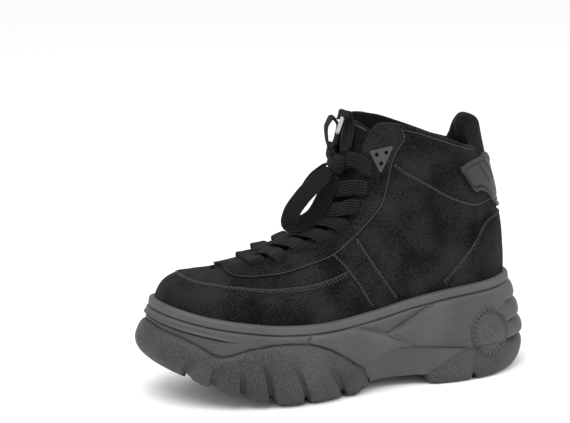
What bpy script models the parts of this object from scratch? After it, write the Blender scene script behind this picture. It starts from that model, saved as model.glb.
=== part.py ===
"""Left platform boot: lugged rubber sole, hollow suede upper, tongue, insole, trims and flat laces.

Toe towards -X, outer side towards -Y, +Z up, metres. The ground is z = 0.
The foot outline and the upper are sections along one arc share: 0 is the toe tip, 1 the back seam.
"""
import bpy
import bmesh
import numpy as np

# main sizes
UPPER_LENGTH = 0.2615
BALL_WIDTH = 0.089
SOLE_FORE = 0.0570
TOE_RISE = 0.0165
HEEL_RISE = 0.0133
SHAFT_BASE = 0.0556
SHAFT_HEIGHT = 0.1325
HEEL_BACK_X = 0.13025
CENTRE_Y = 0.0030

# upper
WALL = 0.0020
COLLAR_PAD = 0.0026
TAB_PAD = 0.0034
TUCK = 0.0030
TAB_HEIGHT = 0.0225
TAB_HALF = 0.0205
LEAN = 1.6
THROAT_START = 0.270
POLE_SHARE = 0.143

# fits and layers
GAP = 0.0003
OVERLAY = 0.0011
OVERLAY_GAP = 0.0004
STAY_GAP = 0.0007
PLATE = 0.0016
PATCH = 0.0018

# sole
WELT_HEIGHT = 0.0088
WELT_INNER = 0.0006
SEAT_OUT = 0.0002
LUG_GROOVE = 0.0040
LUG_GROOVE_SIDE = 0.0022
RIB_DEPTH = 0.0034
INSOLE = 0.0040
INSOLE_INSET = 0.0038

# heel roundel
ROUNDEL_AT = 0.850
ROUNDEL_Z = 0.0345
ROUNDEL_RADIUS = 0.0175

# laces
LACE_WIDTH = 0.0088
BAR_WIDTH = 0.0102
LACE_THICK = 0.0017
LACE_ROWS = 8
INSTEP_AT = 0.560
INSTEP_LIFT = 0.0024
AGLET_LENGTH = 0.0130
AGLET_RADIUS = 0.0015

TOE_X = HEEL_BACK_X - UPPER_LENGTH
HALF_BALL = BALL_WIDTH / 2
LATERAL = -1.0
MEDIAL = 1.0

# rim height along the foot: length share, share of TOE_RISE, share of HEEL_RISE
RIM = np.array([
    (-0.06, 1.00, 0.00),
    (0.00, 0.88, 0.00),
    (0.03, 0.76, 0.00),
    (0.08, 0.56, 0.00),
    (0.16, 0.32, 0.00),
    (0.26, 0.10, 0.00),
    (0.40, 0.00, 0.00),
    (0.55, 0.00, 0.22),
    (0.65, 0.00, 0.52),
    (0.77, 0.00, 0.80),
    (0.87, 0.00, 0.95),
    (0.95, 0.00, 1.00),
    (1.06, 0.00, 1.02),
])

# upper sections: foot and top line as shares of UPPER_LENGTH, HALF_BALL and SHAFT_HEIGHT
SECTION_COLUMNS = (
    "at", "foot_x", "foot_half", "centre", "top_x", "top_half", "top_z", "arch", "fan", "belly",
)
SECTIONS = np.array([
    (0.000, 0.000, 0.000, 0.120, 0.150, 0.000, 0.262, 1.00, 1.0, 0.000),
    (0.048, 0.010, 0.320, 0.100, 0.150, 0.000, 0.262, 1.00, 1.0, 0.000),
    (0.094, 0.040, 0.585, 0.060, 0.150, 0.000, 0.262, 1.00, 1.0, 0.000),
    (0.143, 0.088, 0.770, 0.010, 0.150, 0.000, 0.262, 1.00, 1.0, 0.000),
    (0.200, 0.150, 0.895, -0.030, 0.168, 0.000, 0.266, 1.00, 0.8, 0.000),
    (0.270, 0.225, 0.975, -0.055, 0.232, 0.000, 0.280, 1.00, 0.3, 0.000),
    (0.337, 0.300, 1.000, -0.070, 0.290, 0.220, 0.308, 1.00, 0.0, 0.010),
    (0.411, 0.383, 0.940, -0.095, 0.372, 0.270, 0.364, 0.98, 0.0, 0.012),
    (0.487, 0.470, 0.840, -0.105, 0.445, 0.320, 0.428, 0.92, 0.0, 0.014),
    (0.566, 0.560, 0.755, -0.095, 0.495, 0.370, 0.512, 0.80, 0.0, 0.016),
    (0.610, 0.612, 0.725, -0.085, 0.515, 0.420, 0.640, 0.60, 0.0, 0.018),
    (0.650, 0.660, 0.710, -0.070, 0.527, 0.465, 0.770, 0.42, 0.0, 0.020),
    (0.693, 0.707, 0.706, -0.060, 0.540, 0.510, 0.900, 0.28, 0.0, 0.020),
    (0.735, 0.753, 0.706, -0.045, 0.575, 0.555, 1.000, 0.16, 0.0, 0.018),
    (0.775, 0.796, 0.708, -0.035, 0.655, 0.635, 0.985, 0.10, 0.1, 0.014),
    (0.812, 0.840, 0.700, -0.028, 0.732, 0.660, 0.935, 0.05, 0.3, 0.012),
    (0.850, 0.882, 0.665, -0.022, 0.800, 0.640, 0.885, 0.00, 0.6, 0.015),
    (0.885, 0.915, 0.590, -0.018, 0.838, 0.575, 0.858, 0.00, 0.9, 0.020),
    (0.920, 0.952, 0.450, -0.010, 0.876, 0.455, 0.842, 0.00, 1.0, 0.026),
    (0.960, 0.985, 0.260, -0.004, 0.904, 0.240, 0.832, 0.00, 1.0, 0.028),
    (1.000, 1.000, 0.000, 0.000, 0.914, 0.000, 0.828, 0.00, 1.0, 0.028),
])
ODD_COLUMNS = ("foot_half", "top_half")
BETWEEN_SECTIONS = (0.024, 0.235, 0.303, 0.374, 0.525)
UPPER_STATIONS = np.sort(np.concatenate([SECTIONS[:, 0], BETWEEN_SECTIONS]))

# sole wall: outward offset in mm at height shares of the sole, a row for each arc share
WALL_SHARES = np.array([0.00, 0.06, 0.20, 0.38, 0.56, 0.72, 0.86, 1.00])
SOLE_WALL = np.array([
    (0.00, 6.0, 9.5, 14.5, 16.5, 13.5, 9.5, 6.2, 4.8),
    (0.05, 5.0, 8.0, 13.0, 14.5, 12.0, 9.0, 6.4, 4.8),
    (0.12, 3.5, 6.5, 10.5, 11.5, 9.8, 8.0, 6.6, 4.8),
    (0.22, 2.5, 5.0, 9.0, 10.0, 9.2, 7.8, 6.8, 4.8),
    (0.45, 2.0, 4.5, 8.5, 9.5, 9.0, 7.8, 6.8, 4.8),
    (0.53, 2.5, 3.5, 5.5, 8.5, 9.0, 7.8, 6.8, 4.8),
    (0.60, 2.5, 3.0, 5.0, 8.5, 9.0, 7.6, 6.4, 4.8),
    (0.67, 6.0, 7.0, 8.0, 9.5, 9.0, 7.4, 6.2, 4.8),
    (0.75, 10.0, 11.5, 11.0, 10.5, 9.0, 7.2, 6.0, 4.8),
    (0.85, 10.0, 12.0, 12.2, 11.5, 9.8, 8.0, 6.0, 4.8),
    (0.93, 9.5, 12.5, 15.0, 14.0, 11.5, 9.0, 6.4, 4.8),
    (1.00, 9.0, 12.5, 17.0, 16.0, 13.0, 10.0, 6.6, 4.8),
])

# under edge of the whole sole: arc share, height in mm
GROUND_LINE = np.array([
    (0.000, 29.0), (0.050, 26.0), (0.090, 22.5), (0.130, 17.0), (0.190, 10.5), (0.260, 4.8),
    (0.320, 1.2), (0.365, 0.0), (0.500, 0.0), (0.535, 3.5), (0.560, 8.5), (0.660, 8.0),
    (0.684, 0.0), (1.000, 0.0),
])

# line where the lugged front outsole meets the smooth midsole: arc share, height in mm
PARTING = np.array([
    (0.000, 57.5), (0.020, 57.0), (0.058, 54.5), (0.090, 52.0), (0.118, 48.0), (0.150, 41.5),
    (0.166, 39.8), (0.182, 40.3), (0.224, 44.0), (0.278, 46.0), (0.318, 46.0), (0.366, 44.5),
    (0.388, 42.5), (0.420, 38.5), (0.456, 31.5), (0.490, 24.0), (0.508, 21.5), (0.535, 10.5),
])
HEEL_PARTING = np.array([
    (0.684, 9.0), (0.710, 12.5), (0.750, 19.0), (0.788, 24.0), (0.850, 24.0), (1.000, 23.5),
])

# panel edges on the side of the midsole: arc share, height in mm
ARCH_TOP = np.array([(0.370, 48.0), (0.384, 51.5), (0.490, 51.0), (0.582, 42.0), (0.648, 30.0)])
ARCH_LOW = np.array([(0.508, 22.5), (0.548, 26.0), (0.602, 30.0), (0.648, 30.0), (0.788, 25.5)])
PANEL_TOP = np.array([(0.575, 42.0), (0.640, 50.0), (0.704, 58.5), (0.760, 66.0)])
PANEL_LOW = np.array([(0.575, 42.0), (0.648, 30.0), (0.788, 25.5), (1.000, 25.5)])

# front lug grooves: arc share at the ground edge, arc share at their top, top height in mm
LUG_GROOVES = np.array([
    (0.096, 0.104, 40.0),
    (0.147, 0.157, 33.0),
    (0.213, 0.208, 30.0),
    (0.282, 0.260, 34.0),
    (0.368, 0.330, 31.0),
    (0.468, 0.408, 33.0),
])
GROOVE_HALF = 0.0085
GROOVE_TOP = 0.032
HEEL_GROOVES = (0.812,)
HEEL_FRONT = (0.688, 0.705, 0.730, 0.760, 0.788)
ARCH_HEIGHT = 0.0082
RIB_GROOVES_Z = (0.0505, 0.0365)

# overlay edges on the upper: arc share, height share
GUARD_EDGE = np.array([
    (0.000, 0.635), (0.050, 0.615), (0.090, 0.587), (0.145, 0.573), (0.208, 0.522), (0.265, 0.465),
    (0.345, 0.427), (0.390, 0.392), (0.443, 0.38), (0.520, 0.39),
])
STAY_EDGE = np.array([
    (0.198, 0.96), (0.202, 0.83), (0.214, 0.725), (0.245, 0.665), (0.305, 0.640), (0.370, 0.630),
    (0.455, 0.61), (0.560, 0.66), (0.620, 0.62), (0.680, 0.62), (0.705, 0.67), (0.735, 0.77),
    (0.764, 0.90),
])
BAND_EDGES = np.array([
    (0.00, 0.558, 0.626), (0.30, 0.514, 0.587), (0.45, 0.490, 0.573), (0.70, 0.455, 0.555),
])
COUNTER_EDGE = np.array([
    (0.752, 0.055), (0.782, 0.11), (0.828, 0.24), (0.863, 0.36), (0.905, 0.455), (0.930, 0.485),
    (1.000, 0.485),
])
PATCH_EDGES = np.array([
    (0.841, 0.782, 0.808), (0.863, 0.648, 0.862), (0.887, 0.666, 0.890), (0.902, 0.645, 0.903),
    (0.915, 0.595, 0.912), (0.941, 0.532, 0.890), (0.965, 0.518, 0.850), (1.000, 0.515, 0.835),
])
PLATE_CORNERS = np.array([(0.694, 0.930), (0.744, 0.852), (0.697, 0.758)])

# lace routes from this point of the throat, mm: x, y, z
LACE_DATUM = np.array([0.00155, 0.0012, 0.0])
FRONT_LOOP = np.array([
    (-14.0, -13.0, 156.6), (-23.0, -14.0, 149.5), (-34.5, -13.0, 138.5), (-42.0, -11.0, 126.5),
    (-42.0, -8.5, 119.8), (-33.5, -6.5, 118.0), (-23.0, -6.0, 122.5), (-16.5, -8.0, 133.5),
    (-12.0, -9.5, 144.0), (-9.5, -10.5, 152.5),
])
TOP_LOOP = np.array([
    (-11.0, -8.5, 167.6), (-12.0, -4.0, 176.5), (-9.8, 0.0, 186.0), (-5.2, 1.5, 190.0),
    (-1.6, 0.8, 185.5), (-3.2, -0.5, 176.5), (-7.2, -2.5, 168.2),
])
TOP_END = np.array([
    (-2.6, -13.5, 168.4), (0.8, -10.0, 175.5), (3.8, -6.5, 184.0), (3.6, -5.5, 191.5),
    (-0.2, -8.5, 195.5), (-3.6, -11.5, 191.5),
])
LOW_END = np.array([
    (-11.5, 0.2, 157.5), (-15.0, 8.0, 151.0), (-18.5, 15.5, 141.0), (-21.0, 21.5, 129.5),
    (-22.5, 26.5, 118.0), (-23.0, 31.0, 107.0),
])
LACE_FACE = (-0.38, -0.90, 0.22)
KNOT_CENTRE = (-7.4, -10.0, 160.0)
KNOT_HALF = (5.8, 9.0, 6.4)


def smooth(knots, values, at, even=True):
    """Cubic through the knots, mirrored past both ends."""
    sign = 1.0 if even else -1.0
    ends = (2 * knots[0] - knots[1], 2 * knots[-1] - knots[-2])
    k = np.concatenate([ends[:1], knots, ends[1:]])
    v = np.concatenate([[sign * values[1]], values, [sign * values[-2]]])
    slope = (v[2:] - v[:-2]) / (k[2:] - k[:-2])
    at = np.clip(np.asarray(at, float), knots[0], knots[-1])
    i = np.clip(np.searchsorted(knots, at, side="right") - 1, 0, len(knots) - 2)
    h = knots[i + 1] - knots[i]
    t = (at - knots[i]) / h
    return (
        values[i] * (2 * t**3 - 3 * t**2 + 1)
        + values[i + 1] * (3 * t**2 - 2 * t**3)
        + slope[i] * h * (t**3 - 2 * t**2 + t)
        + slope[i + 1] * h * (t**3 - t**2)
    )


def column(name, s):
    """One column of the upper's sections at arc share s."""
    values = SECTIONS[:, SECTION_COLUMNS.index(name)]
    return smooth(SECTIONS[:, 0], values, s, name not in ODD_COLUMNS)


def ramp(x, half):
    """0 below -half, 1 above half, smooth between."""
    t = np.clip((np.asarray(x) / half + 1) / 2, 0, 1)
    return t * t * (3 - 2 * t)


def rim_z(x):
    """Height of the sole's rim over a point of the foot's length."""
    share = (np.asarray(x) - TOE_X) / UPPER_LENGTH
    toe = smooth(RIM[:, 0], RIM[:, 1], share)
    heel = smooth(RIM[:, 0], RIM[:, 2], share)
    return SOLE_FORE + TOE_RISE * toe + HEEL_RISE * heel


def foot(s, side):
    """Plan point of the line where upper and sole meet, carried past both ends onto the far side."""
    s = np.asarray(s, float)
    inner = np.where(s < 0, -s, np.where(s > 1, 2 - s, s))
    turn = np.where((s < 0) | (s > 1), -side, side)
    x = TOE_X + UPPER_LENGTH * column("foot_x", inner)
    y = CENTRE_Y + HALF_BALL * (column("centre", inner) + turn * column("foot_half", inner))
    return x, y


def plan_normal(s, side):
    """Outward plan direction of the foot outline."""
    step = 1e-3
    x0, y0 = foot(np.asarray(s) - step, side)
    x1, y1 = foot(np.asarray(s) + step, side)
    length = np.hypot(x1 - x0, y1 - y0)
    return -side * (y1 - y0) / length, side * (x1 - x0) / length


def upper(s, v, side):
    """Outer face of the upper: arc share s, height share v from the feather line to the top line."""
    s, v = np.broadcast_arrays(np.asarray(s, float), np.asarray(v, float))
    xb, yb = foot(s, side)
    zb = rim_z(xb) - TUCK
    mid = CENTRE_Y + HALF_BALL * column("centre", np.maximum(s, POLE_SHARE)) * 0.5
    xt = TOE_X + UPPER_LENGTH * column("top_x", s)
    half = np.where(s <= THROAT_START, 0.0, HALF_BALL * column("top_half", s))
    zt = SHAFT_BASE + SHAFT_HEIGHT * column("top_z", s)
    arch = column("arch", s)
    fan = column("fan", s)
    rise = v + (np.sin(np.pi * v / 2) ** 0.92 - v) * arch
    close = v**LEAN + ((1 - np.cos(np.pi * v / 2) ** 0.85) - v**LEAN) * arch
    along = rise + (close - rise) * fan
    nx, ny = plan_normal(s, side)
    bulge = column("belly", s) * BALL_WIDTH * np.sin(np.pi * v)
    x = xb + (xt - xb) * along + nx * bulge
    y = yb + (mid + side * half - yb) * close + ny * bulge
    tab = np.clip(1 - np.abs(half / TAB_HALF) ** 3, 0, 1) ** 0.6 * (s > 0.8)
    z = zb + (zt - zb) * rise + TAB_HEIGHT * tab * np.clip((v - 0.75) / 0.25, 0, 1) ** 2
    return np.stack([x, y, z], -1)


def above_rim(s, side):
    """Height share at which the upper stands clear of the rim's top edge."""
    shares = np.linspace(0, 0.4, 81)
    s = np.atleast_1d(np.asarray(s, float))
    xb, _ = foot(s, side)
    z = upper(s[:, None], shares[None], side)[..., 2] - rim_z(xb)[:, None]
    return np.array([np.interp(2.5 * GAP, row, shares) for row in z])


def ground_z(s):
    return np.interp(s, GROUND_LINE[:, 0], GROUND_LINE[:, 1]) / 1000


def relief(s, z):
    """Raised and sunk panels of the midsole's side."""
    mm = 1000 * np.asarray(z)
    s = np.asarray(s, float)
    low = np.interp(s, PARTING[:, 0], PARTING[:, 1])
    arch_top = np.interp(s, ARCH_TOP[:, 0], ARCH_TOP[:, 1])
    arch_low = np.where(s < 0.508, low, np.interp(s, ARCH_LOW[:, 0], ARCH_LOW[:, 1]))
    inside = (s > 0.36) & (s < 0.655)
    arch = ramp(arch_top - mm, 1.2) * ramp(mm - arch_low, 1.0) * inside
    top = np.interp(s, PANEL_TOP[:, 0], PANEL_TOP[:, 1])
    under = np.interp(s, PANEL_LOW[:, 0], PANEL_LOW[:, 1])
    panel = ramp(top - mm, 1.2) * ramp(mm - under, 1.2) * (s > 0.57)
    hollow = ramp(arch_low - mm, 3.0) * (s > 0.508) * (s < 0.70)
    return 0.0012 * arch + 0.0016 * panel - 0.0015 * hollow


def ribs(s, z):
    """Depth of the level grooves round the back of the heel."""
    fade = np.clip((np.asarray(s) - 0.875) / 0.06, 0, 1)
    depth = 0.0
    for level in RIB_GROOVES_Z + (HEEL_PARTING[-1, 1] / 1000,):
        depth = depth + np.exp(-(((np.asarray(z) - level) / 0.0022) ** 2))
    return RIB_DEPTH * fade * depth


def sole_out(s, z, side):
    """Outward offset of the sole's side from the foot outline at height z."""
    x, _ = foot(s, side)
    low = ground_z(s)
    share = np.clip((z - low) / (rim_z(x) - low), 0, 1)
    row = np.array([np.interp(s, SOLE_WALL[:, 0], SOLE_WALL[:, j + 1]) for j in range(8)])
    j = np.clip(np.searchsorted(WALL_SHARES, share, side="right") - 1, 0, 6)
    t = (share - WALL_SHARES[j]) / (WALL_SHARES[j + 1] - WALL_SHARES[j])
    here = np.take_along_axis(row, j[None], 0)[0]
    there = np.take_along_axis(row, j[None] + 1, 0)[0]
    return (here + (there - here) * t) / 1000 + relief(s, z) - ribs(s, z)


def sole_point(s, z, side, extra=0.0):
    """Point of the sole's side at arc share s and height z."""
    s, z = np.broadcast_arrays(np.asarray(s, float), np.asarray(z, float))
    x, y = foot(s, side)
    nx, ny = plan_normal(s, side)
    out = sole_out(s, z, side) + extra
    return np.stack([x + nx * out, y + ny * out, z], -1)


def collection(name, hidden=False):
    made = bpy.data.collections.new(name)
    bpy.context.scene.collection.children.link(made)
    made.hide_render = hidden
    return made


def material(name, colour, rough):
    made = bpy.data.materials.new(name)
    made.use_nodes = True
    shader = made.node_tree.nodes["Principled BSDF"]
    shader.inputs["Base Color"].default_value = (*colour, 1.0)
    shader.inputs["Roughness"].default_value = rough
    made.diffuse_color = (*colour, 1.0)
    return made


def solid(name, points, faces, where, look):
    """Closed body from points and faces: equal points weld, flat faces drop out, faces turn outward."""
    points = np.asarray(points, float).reshape(-1, 3)
    keys = np.round(points / 2e-5).astype(np.int64)
    _, first, back = np.unique(keys, axis=0, return_index=True, return_inverse=True)
    back = back.ravel()
    kept = []
    for face in faces:
        ring = [int(back[i]) for i in face]
        ring = [a for a, b in zip(ring, ring[1:] + ring[:1]) if a != b]
        if len(ring) > 2 and len(set(ring)) == len(ring):
            kept.append(ring)
    mesh = bpy.data.meshes.new(name)
    mesh.from_pydata([tuple(points[i]) for i in first], [], kept)
    shape = bmesh.new()
    shape.from_mesh(mesh)
    loose = [v for v in shape.verts if not v.link_faces]
    bmesh.ops.delete(shape, geom=loose, context="VERTS")
    bmesh.ops.triangulate(shape, faces=shape.faces)
    bmesh.ops.recalc_face_normals(shape, faces=shape.faces)
    shape.to_mesh(mesh)
    shape.free()
    mesh.materials.append(look)
    made = bpy.data.objects.new(name, mesh)
    where.objects.link(made)
    return made


def quads(rows, columns, first=0, flip=False):
    """Faces of a grid of rows by columns."""
    faces = []
    for i in range(rows - 1):
        for j in range(columns - 1):
            a = first + i * columns + j
            ring = (a, a + columns, a + columns + 1, a + 1)
            faces.append(ring[::-1] if flip else ring)
    return faces


def shell(name, points, faces, high, low, where, look):
    """Sheet thickened along its own normals from low to high, closed round its edges."""
    points = np.asarray(points, float).reshape(-1, 3)
    high = np.broadcast_to(high, len(points))
    low = np.broadcast_to(low, len(points))
    keys = np.round(points / 2e-5).astype(np.int64)
    _, first, back = np.unique(keys, axis=0, return_index=True, return_inverse=True)
    back = back.ravel()
    points, high, low = points[first], high[first], low[first]
    kept = []
    for face in faces:
        ring = [int(back[i]) for i in face]
        ring = [a for a, b in zip(ring, ring[1:] + ring[:1]) if a != b]
        if len(ring) > 2:
            kept.append(ring)
    normals = np.zeros_like(points)
    edges = {}
    for ring in kept:
        for a, b, c in zip(ring, ring[1:] + ring[:1], ring[2:] + ring[:2]):
            normals[b] += np.cross(points[b] - points[a], points[c] - points[b])
            edges[(a, b)] = True
    normals /= np.maximum(np.linalg.norm(normals, axis=1, keepdims=True), 1e-12)
    count = len(points)
    body = np.concatenate([points + normals * high[:, None], points + normals * low[:, None]])
    under = [[i + count for i in ring[::-1]] for ring in kept]
    sides = [[b, a, a + count, b + count] for a, b in edges if (b, a) not in edges]
    return solid(name, body, kept + under + sides, where, look)


def upper_normal(s, v, side):
    """Outward unit normal of the upper."""
    step = 1e-3
    ds = upper(s + step, v, side) - upper(s - step, v, side)
    dv = upper(s, np.minimum(v + step, 1.0), side) - upper(s, v - step, side)
    normal = side * np.cross(dv, ds)
    return normal / np.maximum(np.linalg.norm(normal, axis=-1, keepdims=True), 1e-12)


def both_sides(s_rows, v_rows, function=upper):
    """Points and faces of a sheet given as rows of (s, v), on the outer side and on the inner one."""
    points = []
    faces = []
    for side in (LATERAL, MEDIAL):
        grid = function(s_rows, v_rows, side)
        faces += quads(grid.shape[0], grid.shape[1], sum(len(p) for p in points), side == MEDIAL)
        points.append(grid.reshape(-1, 3))
    return np.concatenate(points), faces


def section_loft(name, left, right, under, over, where, look):
    """Closed body through cross sections: side walls from top to bottom, floor and roof points."""
    sections = np.concatenate([left, under, right[:, ::-1], over], axis=1)
    rows, count = sections.shape[:2]
    walls, floor = left.shape[1], under.shape[1]
    faces = []
    for i in range(rows - 1):
        for j in range(count):
            k = (j + 1) % count
            a = i * count
            faces.append((a + j, a + count + j, a + count + k, a + k))
    for end in (0, rows - 1):
        a = end * count
        for j in range(walls - 1):
            far = 2 * walls + floor - 1
            ring = [j, j + 1]
            if j == walls - 2:
                ring += list(range(walls, walls + floor))
            ring += [far - j - 1, far - j]
            if j == 0:
                ring += list(range(far + 1, count))
            faces.append([a + r for r in ring])
    return solid(name, sections.reshape(-1, 3), faces, where, look)


def across(left, right, shares, lift=0.0):
    """Points between the two side walls at the given shares of the way."""
    shares = np.asarray(shares)[None, :, None]
    row = left[:, None] + (right - left)[:, None] * shares
    row[..., 2] += lift
    return row


def make_upper(where, look):
    s = UPPER_STATIONS
    v = np.array([0.0, 0.07, 0.17, 0.29, 0.42, 0.55, 0.68, 0.79, 0.88, 0.95, 1.0])
    points, faces = both_sides(s[:, None], v[None, :])
    pad = np.clip((s[:, None] - 0.72) / 0.05, 0, 1) * np.clip((v[None] - 0.62) / 0.2, 0, 1)
    tab = np.clip((s[:, None] - 0.90) / 0.05, 0, 1) * np.clip((v[None] - 0.75) / 0.2, 0, 1)
    wall = WALL + COLLAR_PAD * pad + TAB_PAD * tab
    low = -np.concatenate([wall.ravel(), wall.ravel()])
    return shell("upper", points, faces, 0.0, low, where, look)


def overlay(name, s, v, where, look, function=upper, thick=OVERLAY, lift=OVERLAY_GAP):
    points, faces = both_sides(s, v, function)
    return shell(name, points, faces, lift + thick, lift, where, look)


def make_overlays(where, look):
    at = np.append(UPPER_STATIONS[UPPER_STATIONS < 0.42], 0.482)
    foot_v = above_rim(at, LATERAL)
    top_v = np.interp(at, GUARD_EDGE[:, 0], GUARD_EDGE[:, 1])
    v = foot_v[:, None] + (top_v - foot_v)[:, None] * np.linspace(0, 1, 5)[None]
    s = np.repeat(at[:, None], 5, axis=1)
    s[-1] = np.interp(v[-1], BAND_EDGES[:, 0], BAND_EDGES[:, 1]) - 0.008
    overlay("toe_guard", s, v, where, look)

    inner = UPPER_STATIONS[(UPPER_STATIONS > 0.21) & (UPPER_STATIONS < 0.74)]
    at = np.concatenate([[0.200, 0.208, 0.218], inner, [0.762]])
    edge = np.interp(at, STAY_EDGE[:, 0], STAY_EDGE[:, 1])
    v = edge[:, None] + (1 - edge)[:, None] * np.linspace(0, 1, 5)[None]
    overlay("lace_stay", at[:, None], v, where, look, lift=STAY_GAP)

    v = np.linspace(0.055, 0.56, 6)[None]
    share = np.linspace(0, 1, 4)[:, None]
    front = np.interp(v, BAND_EDGES[:, 0], BAND_EDGES[:, 1])
    rear = np.interp(v, BAND_EDGES[:, 0], BAND_EDGES[:, 2])
    s = front + (rear - front) * share
    for side, name in ((LATERAL, "side_band_outer"), (MEDIAL, "side_band_inner")):
        grid = upper(s, v, side)
        faces = quads(grid.shape[0], grid.shape[1], 0, side == MEDIAL)
        shell(name, grid, faces, OVERLAY_GAP + OVERLAY, OVERLAY_GAP, where, look)

    at = np.append(0.752, UPPER_STATIONS[UPPER_STATIONS > 0.76])
    foot_v = above_rim(at, LATERAL)
    top_v = np.interp(at, COUNTER_EDGE[:, 0], COUNTER_EDGE[:, 1])
    v = foot_v[:, None] + np.maximum(top_v - foot_v, 0.004)[:, None] * np.linspace(0, 1, 4)[None]
    overlay("heel_counter", at[:, None], v, where, look)


def make_trims(where, look):
    at = np.array([0.844, 0.863, 0.876, 0.888, 0.902, 0.915, 0.93, 0.948, 0.965, 0.983, 1.0])
    low = np.interp(at, PATCH_EDGES[:, 0], PATCH_EDGES[:, 1])
    high = np.interp(at, PATCH_EDGES[:, 0], PATCH_EDGES[:, 2])
    v = low[:, None] + (high - low)[:, None] * np.linspace(0, 1, 4)[None]
    overlay("heel_patch", at[:, None], v, where, look, thick=PATCH, lift=2 * OVERLAY_GAP)

    corners = PLATE_CORNERS
    middle = corners.mean(axis=0)
    ring = []
    for k in range(3):
        here, before, after = corners[k], corners[k - 1], corners[(k + 1) % 3]
        ring += [here + (before - here) * 0.14, here + (middle - here) * 0.10,
                 here + (after - here) * 0.14]
    ring = np.array(ring)
    half = middle + (ring - middle) * 0.5
    rows = np.concatenate([ring, half, middle[None]])
    count = len(ring)
    lift = STAY_GAP + OVERLAY + 2 * GAP
    for side, name in ((LATERAL, "lace_plate_outer"), (MEDIAL, "lace_plate_inner")):
        faces = []
        for a in range(count):
            b = (a + 1) % count
            faces.append((a, b, b + count, a + count))
            faces.append((a + count, b + count, 2 * count))
        if side == LATERAL:
            faces = [f[::-1] for f in faces]
        points = upper(rows[:, 0], rows[:, 1], side)
        shell(name, points, faces, lift + PLATE, lift, where, look)


def make_tongue(where, look):
    """Padded strip under the throat, tucked beneath both edges."""
    s = np.array([0.300, 0.337, 0.374, 0.411, 0.45, 0.487, 0.525, 0.566, 0.59, 0.61, 0.63, 0.65,
                  0.672, 0.693, 0.712])
    under = WALL + GAP
    tuck = np.interp(s, [0.30, 0.40, 0.62, 0.72], [0.93, 0.90, 0.88, 0.88])
    rows = []
    for side in (LATERAL, MEDIAL):
        pad = COLLAR_PAD * np.clip((s - 0.70) / 0.05, 0, 1)
        edge = upper(s, np.full_like(s, 1.0), side)
        edge -= upper_normal(s, np.full_like(s, 0.995), side) * (under + pad + 0.0012)[:, None]
        deep = upper(s, tuck, side) - upper_normal(s, tuck, side) * (under + pad + 0.0004)[:, None]
        rows.append((deep, edge))
    (deep_l, edge_l), (deep_m, edge_m) = rows
    middle = (edge_l + edge_m) / 2
    lift = np.cross(edge_m - edge_l, np.gradient(middle, axis=0))
    lift /= np.linalg.norm(lift, axis=1, keepdims=True)
    lift *= np.sign(lift[:, 2:3] - 0.2 * lift[:, :1])
    width = np.linalg.norm(edge_m - edge_l, axis=1)[:, None]
    line = [deep_l, edge_l]
    for share in (0.25, 0.5, 0.75):
        bow = 4 * share * (1 - share) * 0.10 * width
        line.append(edge_l + (edge_m - edge_l) * share + lift * bow)
    line += [edge_m, deep_m]
    grid = np.stack(line, axis=1)
    grid = np.concatenate([grid, grid[-1:] + (grid[-1:] - grid[-2:-1]) * 0.25])
    grid[-1, 2:5, 2] += 0.0025
    thick = np.interp(np.arange(len(grid)), [0, 6, 11, 15], [0.0020, 0.0026, 0.0040, 0.0042])
    faces = quads(grid.shape[0], grid.shape[1])
    low = -np.repeat(thick, grid.shape[1])
    return shell("tongue", grid, faces, 0.0, low, where, look)


def make_insole(where, look):
    s = np.array([0.03, 0.072, 0.12, 0.17, 0.235, 0.303, 0.374, 0.45, 0.525, 0.59, 0.65, 0.72,
                  0.79, 0.85, 0.90, 0.94, 0.972])
    sides = []
    for side in (LATERAL, MEDIAL):
        x, y = foot(s, side)
        nx, ny = plan_normal(s, side)
        x = x - nx * INSOLE_INSET
        y = y - ny * INSOLE_INSET
        base = rim_z(x) - TUCK + GAP
        sides.append(np.stack([np.stack([x, y, base + INSOLE], -1), np.stack([x, y, base], -1)], 1))
    left, right = sides
    over = across(right[:, 0], left[:, 0], [0.5])
    under = across(left[:, 1], right[:, 1], [0.5])
    return section_loft("insole", left, right, under, over, where, look)


def make_welt(where, look):
    half = sole_stations()
    profile = ((WELT_INNER, 0.0), (0.0044, 0.0), (0.0054, 0.0014), (0.0054, 0.0060),
               (0.0038, WELT_HEIGHT), (WELT_INNER, WELT_HEIGHT))
    rings = []
    for side, at in ((LATERAL, half), (MEDIAL, half[-2:0:-1])):
        x, y = foot(at, side)
        nx, ny = plan_normal(at, side)
        top = rim_z(x)
        rings.append(np.stack([np.stack([x + nx * out, y + ny * out, top - drop], -1)
                               for out, drop in profile], 1))
    grid = np.concatenate(rings)
    rows, count = grid.shape[:2]
    faces = []
    for i in range(rows):
        for j in range(count):
            i2, j2 = (i + 1) % rows, (j + 1) % count
            faces.append((i * count + j, i2 * count + j, i2 * count + j2, i * count + j2))
    return solid("welt", grid, faces, where, look)


def lug_columns():
    """Columns of the front outsole: share at the ground, share at the top, 1 inside a groove."""
    columns = [(s, s, 0.0) for s in (0.0, 0.02, 0.042, 0.066)]
    for k, (low, high, _) in enumerate(LUG_GROOVES):
        for offset, deep in ((-1.0, 0.0), (-0.45, 1.0), (0.45, 1.0), (1.0, 0.0)):
            columns.append((low + offset * GROOVE_HALF, high, deep))
        after = LUG_GROOVES[k + 1] if k + 1 < len(LUG_GROOVES) else (0.500, 0.464, 0.0)
        columns.append(((low + after[0]) / 2, (high + after[1]) / 2, 0.0))
    columns += [(0.496, 0.474, 0.0), (0.508, 0.500, 0.0), (0.520, 0.518, 0.0), (0.535, 0.535, 0.0)]
    return np.array(columns).T


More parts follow.
